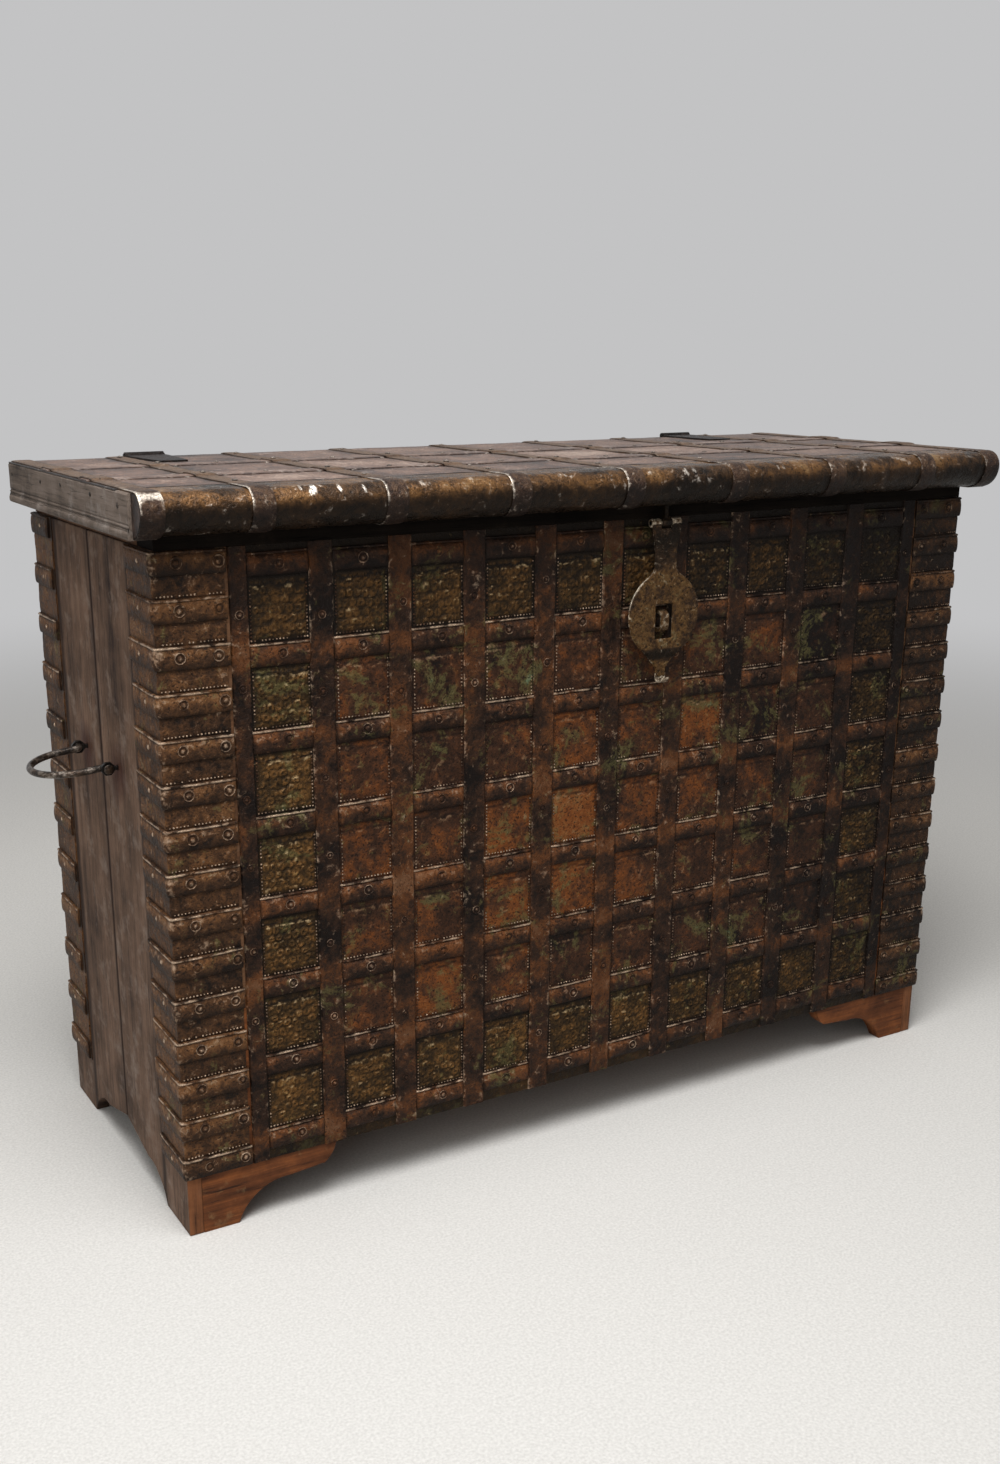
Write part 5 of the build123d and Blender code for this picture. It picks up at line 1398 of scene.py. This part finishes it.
@dataclass
class HaspIron:
    """The hanging hasp: a forged slotted disc with rolled ears and a curled tail, and the staple behind it."""

    shop: Workshop
    x: float = 68.0
    y: float = -223.9
    z: float = 821.0
    back: float = -226.5
    thickness: float = 3.0
    disc_radius: float = 55.0
    disc_drop: float = 115.0
    neck_half: float = 17.0
    neck_drop: float = 36.0
    ear_half: float = 22.5
    ear_gap: float = 7.9
    ear_drop: float = 7.0
    knuckle: float = 5.6
    slot_half: tuple = (13.0, 22.0)
    slot_drop: float = 124.0
    tail_half: float = 8.0
    tail_root: float = 30.0
    tail_drop: float = 184.0
    tail_end: float = 197.0
    curl: float = 3.0
    bend: float = 3.2
    blend: float = 11.0         # neck and disc run together over this width
    grid: float = 1.1           # one cell of the flat's mesh
    staple_top: float = 711.0
    staple_bottom: float = 683.0
    staple_nose: float = -231.9
    staple_inner: float = -186.7
    staple_half: float = 5.9
    wire: float = 5.0
    corner: float = 7.5

    def outline(self, x: Array, z: Array) -> Array:
        """Signed distance to the hasp's outline: disc, neck, ears and tail joined, slot and gap cut out.

        Args:
            x: across, in mm from the hasp's middle.
            z: height in mm above the pin.

        Returns:
            Distance in mm, below 0 inside.
        """
        disc_z = -self.disc_drop
        disc = np.hypot(x, z - disc_z) - self.disc_radius
        width = np.interp(z, [-self.neck_drop, -self.ear_drop], [self.neck_half, self.ear_half])
        neck = np.maximum(np.maximum(np.abs(x) - width, z), disc_z - z)
        mix = np.clip(0.5 + 0.5 * (neck - disc) / self.blend, 0, 1)
        body = neck + (disc - neck) * mix - self.blend * mix * (1 - mix)
        root_z = disc_z - math.sqrt(self.disc_radius ** 2 - self.tail_root ** 2)
        tail_width = np.interp(z, [-self.tail_drop, root_z], [self.tail_half, self.tail_root])
        tail = np.maximum(np.maximum(np.abs(x) - tail_width, -self.tail_end - z), z - root_z - 8)
        slot = np.maximum(np.abs(x) - self.slot_half[0], np.abs(z + self.slot_drop) - self.slot_half[1])
        gap = np.maximum(np.abs(x) - self.ear_gap, -self.ear_drop - z)
        return np.maximum(np.maximum(np.minimum(body, tail), -slot), -gap)

    def shift(self, z: Array) -> Array:
        """How far the tail is set in towards the chest below the disc: a smooth step."""
        return self.bend * step(-z, 160.0, 177.0)

    def build(self) -> None:
        """Builds the hasp and its staple."""
        hasp = Gather()
        self.plate(hasp)
        self.ears(hasp)
        self.tail(hasp)
        self.shop.finish("forged_hasp", hasp, "hasp", "hasp", "hasp_iron", ("hasp_plate",), crease=50)
        self.staple()

    def cells(self) -> tuple[Array, Array, Array, Array]:
        """A grid over the hasp, its cells inside the outline kept and their rim points drawn onto the outline.

        Returns:
            X and Z of the grid's points, which cells are kept, and how many kept cells meet at each point.
        """
        x, z = np.meshgrid(np.arange(-60, 60 + self.grid, self.grid),
                           np.arange(-self.tail_end - 2, 2 + self.grid, self.grid))
        keep = self.outline((x[:-1, :-1] + x[1:, 1:]) / 2, (z[:-1, :-1] + z[1:, 1:]) / 2) < 0
        around = np.zeros(x.shape, int)
        for di in (0, 1):
            for dj in (0, 1):
                around[di:di + keep.shape[0], dj:dj + keep.shape[1]] += keep
        on_rim = (around > 0) & (around < 4)
        tiny = 0.05                                     # mm, for the outline's slope
        for _ in range(4):
            d = self.outline(x, z)
            gx = (self.outline(x + tiny, z) - self.outline(x - tiny, z)) / (2 * tiny)
            gz = (self.outline(x, z + tiny) - self.outline(x, z - tiny)) / (2 * tiny)
            size = np.maximum(gx ** 2 + gz ** 2, 0.05)
            x = np.where(on_rim, x - np.clip(d * gx / size, -1.5, 1.5), x)
            z = np.where(on_rim, z - np.clip(d * gz / size, -1.5, 1.5), z)
        return x, z, keep, around

    def plate(self, hasp: Gather) -> None:
        """The flat of the hasp: two faces of cells, each domed to their common rim, the front one pitted.

        Dome: sqrt(1 - (1 - d / 1.7)^2) with d the distance from the rim in mm.

        Args:
            hasp: takes the flat.
        """
        x, z, keep, around = self.cells()
        used, on_rim = around > 0, (around > 0) & (around < 4)
        depth = np.maximum(-self.outline(x, z), 0)
        dome = np.sqrt(np.clip(1 - (1 - np.minimum(depth, 1.7) / 1.7) ** 2, 0, 1))
        dome = np.where(on_rim, 0, np.maximum(dome, 0.3))
        place = np.stack([x + self.x, np.zeros_like(x), z + self.z], -1)
        dents = 0.3 * ripple(place, 24, 101) + 0.22 * ripple(place, 8, 102) + 0.12 * ripple(place, 4, 103)
        centre = self.back - self.thickness / 2 + self.shift(z)
        front = centre - dome * (self.thickness / 2 + np.clip(dents, -0.7, 0.5))
        back = centre + dome * self.thickness / 2
        number = np.full(x.shape, -1)
        number[used] = np.arange(used.sum())
        inner = used & ~on_rim
        behind = number.copy()
        behind[inner] = used.sum() + np.arange(inner.sum())
        rows, columns = np.nonzero(keep)
        corners = [(rows, columns), (rows, columns + 1), (rows + 1, columns + 1), (rows + 1, columns)]
        front_quads, back_quads = (np.stack([face[i, j] for i, j in corners], 1) for face in (number, behind))
        points = np.concatenate([np.stack([place[..., 0], front, place[..., 2]], -1)[used],
                                 np.stack([place[..., 0], back, place[..., 2]], -1)[inner]])
        # lit_side: painted highlight on the disc's upper left rim.
        lit_side = step(-x, 0, 30) * bell(z + 82, 22)
        wear = 0.02 + (0.16 + 0.66 * lit_side) * np.exp(-depth / 1.4) + 0.08 * ripple(place, 30, 104)
        bent = step(-z, 157, 162) * (1 - step(-z, 170, 175))
        grime = 0.55 * bent + 0.3 * np.clip(-dents, 0, 1)
        neck_rust = step(z, -75, -45) * (1 - step(z, -22, -8))
        tone = 0.58 + 0.25 * dents + 0.1 * ripple(place, 40, 105) - 0.42 * bent - 0.24 * neck_rust
        # Painted shade: the neck's top darker in the roll's shadow, and the right side darker.
        tone -= 0.5 * step(z, -40, -16) + 0.16 * step(x, 15, 50) - 0.15 * step(-z, 174, 178)
        finish = {key: np.concatenate([value[used], value[inner]]) for key, value in
                  (("wear", wear), ("grime", grime), ("tone", tone))}
        hasp.shell(points, [front_quads, back_quads[:, ::-1]], **finish)

    def ears(self, hasp: Gather) -> None:
        """Two ears rolled round the pin: rings a little out of round, with a join line where the roll ends.

        Args:
            hasp: takes the ears.
        """
        angle = full_turn(40)
        for side in (-1, 1):
            low, high = sorted((side * self.ear_gap, side * self.ear_half))
            x = np.array([low, low + 0.7, *np.linspace(low + 2, high - 2, 6), high - 0.7, high])
            radius = np.full(len(x), self.knuckle)
            radius[[0, -1]] -= 0.7
            wobble = 0.12 * np.sin(angle * 3 + side)[None] + 0.1 * np.sin(x[:, None] * 0.9)
            r = radius[:, None] + wobble - 0.35 * bell(angle - 2.4, 0.1)[None] - 0.1
            rings = from_plane(self.x + x[:, None], np.stack([self.y + r * np.cos(angle),
                                                              self.z + r * np.sin(angle)], -1))
            hasp.bar(rings, wear=0.38, grime=0.0, tone=0.6)

    def tail(self, hasp: Gather) -> None:
        """The tail's curl: a thin rounded section carried round just over half a turn.

        Args:
            hasp: takes the curl.
        """
        end = -self.tail_end
        back = self.back + self.shift(np.array(end))
        middle, foot = back - self.thickness / 2, self.z + end
        centre = (back - self.thickness - self.curl, foot)
        plane = np.concatenate([line((middle, foot + 6), (middle, foot), 3),
                                arc(centre, self.curl + self.thickness / 2, 0, -205, 22)])
        path = from_plane(self.x, plane)
        angle = full_turn(20)
        section = np.stack([self.tail_half * signed_power(np.cos(angle), 0.35),
                            self.thickness / 2 * signed_power(np.sin(angle), 0.6)], 1)
        share = np.ones(len(path))
        share[-4:] = [0.97, 0.9, 0.78, 0.55]
        each = section[None] * np.stack([np.ones_like(share), share], 1)[:, None]
        hasp.bar(carried(path, X_AXIS, directions(path, X_AXIS), each), wear=0.4, grime=0.0, tone=0.6)

    def staple(self) -> None:
        """The lock staple: a grooved band carried out of the board, up round its bow and back, with clinched ends."""
        staple = Gather()
        half, corner = self.wire / 2, self.corner
        inner, nose = self.staple_inner + half, self.staple_nose + half
        bottom, top = self.staple_bottom + half, self.staple_top - half
        plane = np.concatenate([
            line((inner, self.staple_bottom - 9.5), (inner, bottom - 0.5), 5),
            line((inner - 1, bottom), (nose + corner, bottom), 16),
            arc((nose + corner, bottom + corner), corner, 270, 180, 10),
            line((nose, bottom + corner), (nose, top - corner), 6),
            arc((nose + corner, top - corner), corner, 180, 90, 10),
            line((nose + corner, top), (inner - 1, top), 16),
            line((inner, top + 0.5), (inner, self.staple_top + 9.5), 5)])
        path = from_plane(self.x, plane)
        u = np.linspace(-1, 1, 15)
        grooved = half * (1 - 0.55 * bell(u, 0.16)) * np.sqrt(np.clip(1 - np.abs(u) ** 5, 0, 1)) + 0.02
        width = u * self.staple_half
        section = np.concatenate([np.stack([width, grooved], 1), np.stack([width[::-1], np.full(15, -half)], 1)])
        bow = step(-path[:, 1], 212, 224)[:, None]
        crown = np.concatenate([bell(np.abs(u) - 0.5, 0.25), np.zeros(15)])[None]
        staple.bar(carried(path, X_AXIS, -directions(path, X_AXIS), section), wear=0.08 + bow * (0.12 + 0.4 * crown),
                   grime=0.5 * (1 - bow), tone=0.6)
        self.shop.finish("staple_bow", staple, "hasp", "chest", "hasp_iron", ("lock_staple",), crease=50)


@dataclass
class HandleIron:
    """Bail handles: one round rod each, bent to a bow, its ends turned out through the eyes and headed."""

    shop: Workshop
    x: float = 607.8
    y: float = 19.6
    z: float = 550.0
    radius: float = 4.75
    head: float = 6.1
    half_span: float = 52.0
    arm: float = 24.0
    fillet: float = 5.5
    rod_end: float = 63.5
    head_length: float = 3.0
    droop: float = 5.0

    def build(self) -> None:
        """Builds both handles."""
        f, span, tip = self.fillet, self.half_span, self.rod_end + self.head_length
        half = np.concatenate([
            line((0, -tip), (0, -self.rod_end), 8), line((0, -self.rod_end), (0, -span - f), 6),
            arc((f, -span - f), f, 180, 90, 8), line((f, -span), (self.arm, -span), 6),
            arc((self.arm, 0), span, -90, 0, 26)])
        plane = np.concatenate([half, [[self.arm + span, 0]], half[::-1] * [1, -1]])
        tilt = math.radians(self.droop)
        angle = full_turn(16)
        circle = np.stack([np.cos(angle), np.sin(angle)], 1)
        for name, side in (("left_handle", -1), ("right_handle", 1)):
            out = np.array([side * math.cos(tilt), 0, -math.sin(tilt)])
            path = np.array([side * self.x, self.y, self.z]) + plane[:, :1] * out + plane[:, 1:] * Y_AXIS
            up = np.cross(out, Y_AXIS)
            from_tip = tip - np.abs(path[:, 1] - self.y)
            heading = step(-from_tip, -self.head_length - 0.4, -self.head_length + 0.2)
            radius = self.radius - 0.5 + 0.1 * ripple(path, 18, 111) + (self.head - self.radius) * heading
            domed = self.head * np.sqrt(np.clip(1 - ((1.6 - from_tip) / 2.0) ** 2, 0.05, 1))
            radius = np.where(from_tip < 1.6, domed, radius)
            rings = carried(path, up, directions(path, up), radius[:, None, None] * circle)
            rod = Gather()
            rod.bar(rings, wear=0.28 + 0.15 * ripple(rings, 40, 112) - 0.2 * heading[:, None], grime=0.15,
                    tone=0.45 + 0.15 * ripple(rings, 60, 113))
            self.shop.finish(f"{name}_rod", rod, "handle", name, "handle_iron", (name,), crease=50)


@dataclass
class Timber:
    """Boards and small ironwork whose CAD shape is right: softened edges and their own finish."""

    shop: Workshop

    def build(self) -> None:
        """Dresses every CAD node, the hidden ones too. A piece whose looks are a new one gets no bevel."""
        dress, ends = self.shop.dress, ("left", "right")
        dress("foot", 1.6, "front_board_lower")
        dress("inner", 1.2, "front_board_middle", "front_board_upper", "back_board_lower", "back_board_middle",
              "back_board_upper", "corner_posts", "lid_back_rail", "lid_battens", "roll_core",
              *(f"{name}_{number}" for name in ("floor_board", "lid_plank") for number in (1, 2, 3)),
              *(f"{end}_floor_cleat" for end in ends), *(f"lid_{end}_rail" for end in ends))
        dress("side", 1.4, *(f"{end}_board_{wall}" for end in ends for wall in ("front", "back")))
        dress("neck", 0.8, "lid_front_rail")
        dress("edge", 0, "left_fascia", "right_fascia")
        dress("roll", 0.4, "roll_sheets")
        dress("lid", 0.6, "roll_caps")
        dress("band", 0.5, *(f"{end}_hinge_{kind}" for end in ends for kind in ("body_leaf", "lid_leaf", "pin")))
        dress("plate", 0, "front_plain_plates", "front_embossed_plates", "lid_plates")
        dress("strap", 0, "front_upright_straps", "front_row_straps", "lid_long_straps", "lid_cross_straps")
        dress("corner", 0, *(f"{wall}_{end}_corner_{kind}" for wall in ("front", "back") for end in ends
                             for kind in ("strips", "sheet")))
        dress("handle", 0.5, *(f"{end}_handle{kind}" for end in ends for kind in ("", "_eyes")))
        dress("hasp", 0.5, "hasp_plate", "lock_staple", "hasp_eye", "hasp_pin")


@dataclass
class Studio:
    """A pale floor, soft lamps and the camera at the photograph's angle."""

    camera_place: tuple = (-1.1328, -1.8059, 1.0417)
    camera_aim: tuple = (0.47454, 0.82880, -0.29648)
    lens: float = 38.245
    shift: tuple = (0.0269, 0.0605)
    backdrop: str = "#c3c3c4"
    daylight: str = "#f8f6f3"   # colour and strength of the even light from all round
    daylight_power: float = 0.25
    floor: float = -0.0004      # metres, just under the feet
    lamps: tuple = (("overhead", (-0.75, -0.95, 2.9), (-0.1, 0, 0.5), 1.6, 108.0),
                    ("camera_side", (-2.6, -2.1, 1.8), (-0.3, 0, 0.5), 1.8, 22.0))

    def build(self) -> None:
        """Sets up the stage."""
        self.ground()
        self.light()
        self.eye()
        bpy.context.scene.view_settings.view_transform = "Standard"

    def ground(self) -> None:
        """A wide flat floor just under the feet."""
        count = 48
        angle = full_turn(count)
        radii = np.array([1.0, 3.0, 9.0, 26.0])
        ring = np.stack([np.cos(angle), np.sin(angle), np.zeros(count)], 1)
        points = np.concatenate([(radii[:, None, None] * ring[None]).reshape(-1, 3), [[0, 0, 0]]])
        points[:, 2] = self.floor
        fan = [(k, (k + 1) % count, len(points) - 1) for k in range(count)]
        quads = grid_quads(len(radii), count, False, True)[:, ::-1]
        mesh = bpy.data.meshes.new("floor")
        mesh.from_pydata(points.tolist(), [], fan + quads.tolist())
        material, tree, shader = new_material("pale_floor")
        place = node(tree, "TexCoord").outputs["Object"]
        weave = node(tree, "TexNoise", {"Vector": place, "Scale": 300.0, "Detail": 3.0})
        cloth = node(tree, "ValToRGB", {0: weave}, ((0.3, "#c3c1bd"), (0.7, "#d5d3cf")))
        tree.links.new(cloth.outputs[0], shader.inputs["Base Color"])
        shader.inputs["Roughness"].default_value = 0.95
        far = node(tree, "VectorMath", {0: place}, operation="LENGTH").outputs["Value"]
        fade = node(tree, "MapRange", {0: far, 1: 1.2, 2: 4.5}, interpolation_type="SMOOTHSTEP")
        seen = node(tree, "Math", {0: backdrop_rays(tree), 1: fade}, operation="MULTIPLY")
        glow = node(tree, "Emission", {"Color": linear(self.backdrop), "Strength": 1.0})
        mix = node(tree, "MixShader", {0: seen, 1: shader, 2: glow})
        tree.links.new(mix.outputs[0], tree.nodes["Material Output"].inputs["Surface"])
        mesh.materials.append(material)
        put("floor", mesh)

    def light(self) -> None:
        """A large soft lamp overhead, a weak one from the camera's side, and an even pale world."""
        world = bpy.data.worlds.new("studio")
        bpy.context.scene.world = world
        world.use_nodes = True
        tree = world.node_tree
        lit = tree.nodes["Background"]
        lit.inputs["Color"].default_value = linear(self.daylight)
        lit.inputs["Strength"].default_value = self.daylight_power
        seen = backdrop_rays(tree)
        pale = node(tree, "Background", {"Color": linear(self.backdrop), "Strength": 1.0})
        mix = node(tree, "MixShader", {0: seen, 1: lit, 2: pale})
        tree.links.new(mix.outputs[0], tree.nodes["World Output"].inputs["Surface"])
        for name, place, aim, size, power in self.lamps:
            lamp = bpy.data.lights.new(name, "AREA")
            lamp.size = size
            lamp.energy = power
            put(name, lamp, place, tuple(Vector(aim) - Vector(place)))

    def eye(self) -> None:
        """The camera, fitted to the photograph's frame of 1000 by 1464."""
        camera = bpy.data.cameras.new("camera")
        camera.lens = self.lens
        camera.shift_x, camera.shift_y = self.shift
        camera.clip_end = 60.0
        bpy.context.scene.camera = put("camera", camera, self.camera_place, self.camera_aim)


def main() -> None:
    """Builds the chest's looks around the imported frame, one sub-assembly after another."""
    logging.basicConfig(level=logging.INFO, format="%(message)s")
    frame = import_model()
    shop = Workshop(Palette(), frame["nodes"])
    for part in (FrontIron(shop), CornerIron(shop), LidIron(shop), HaspIron(shop), HandleIron(shop), Timber(shop),
                 Studio()):
        part.build()
        log.info("built %s", type(part).__name__)


if __name__ == "__main__":
    main()
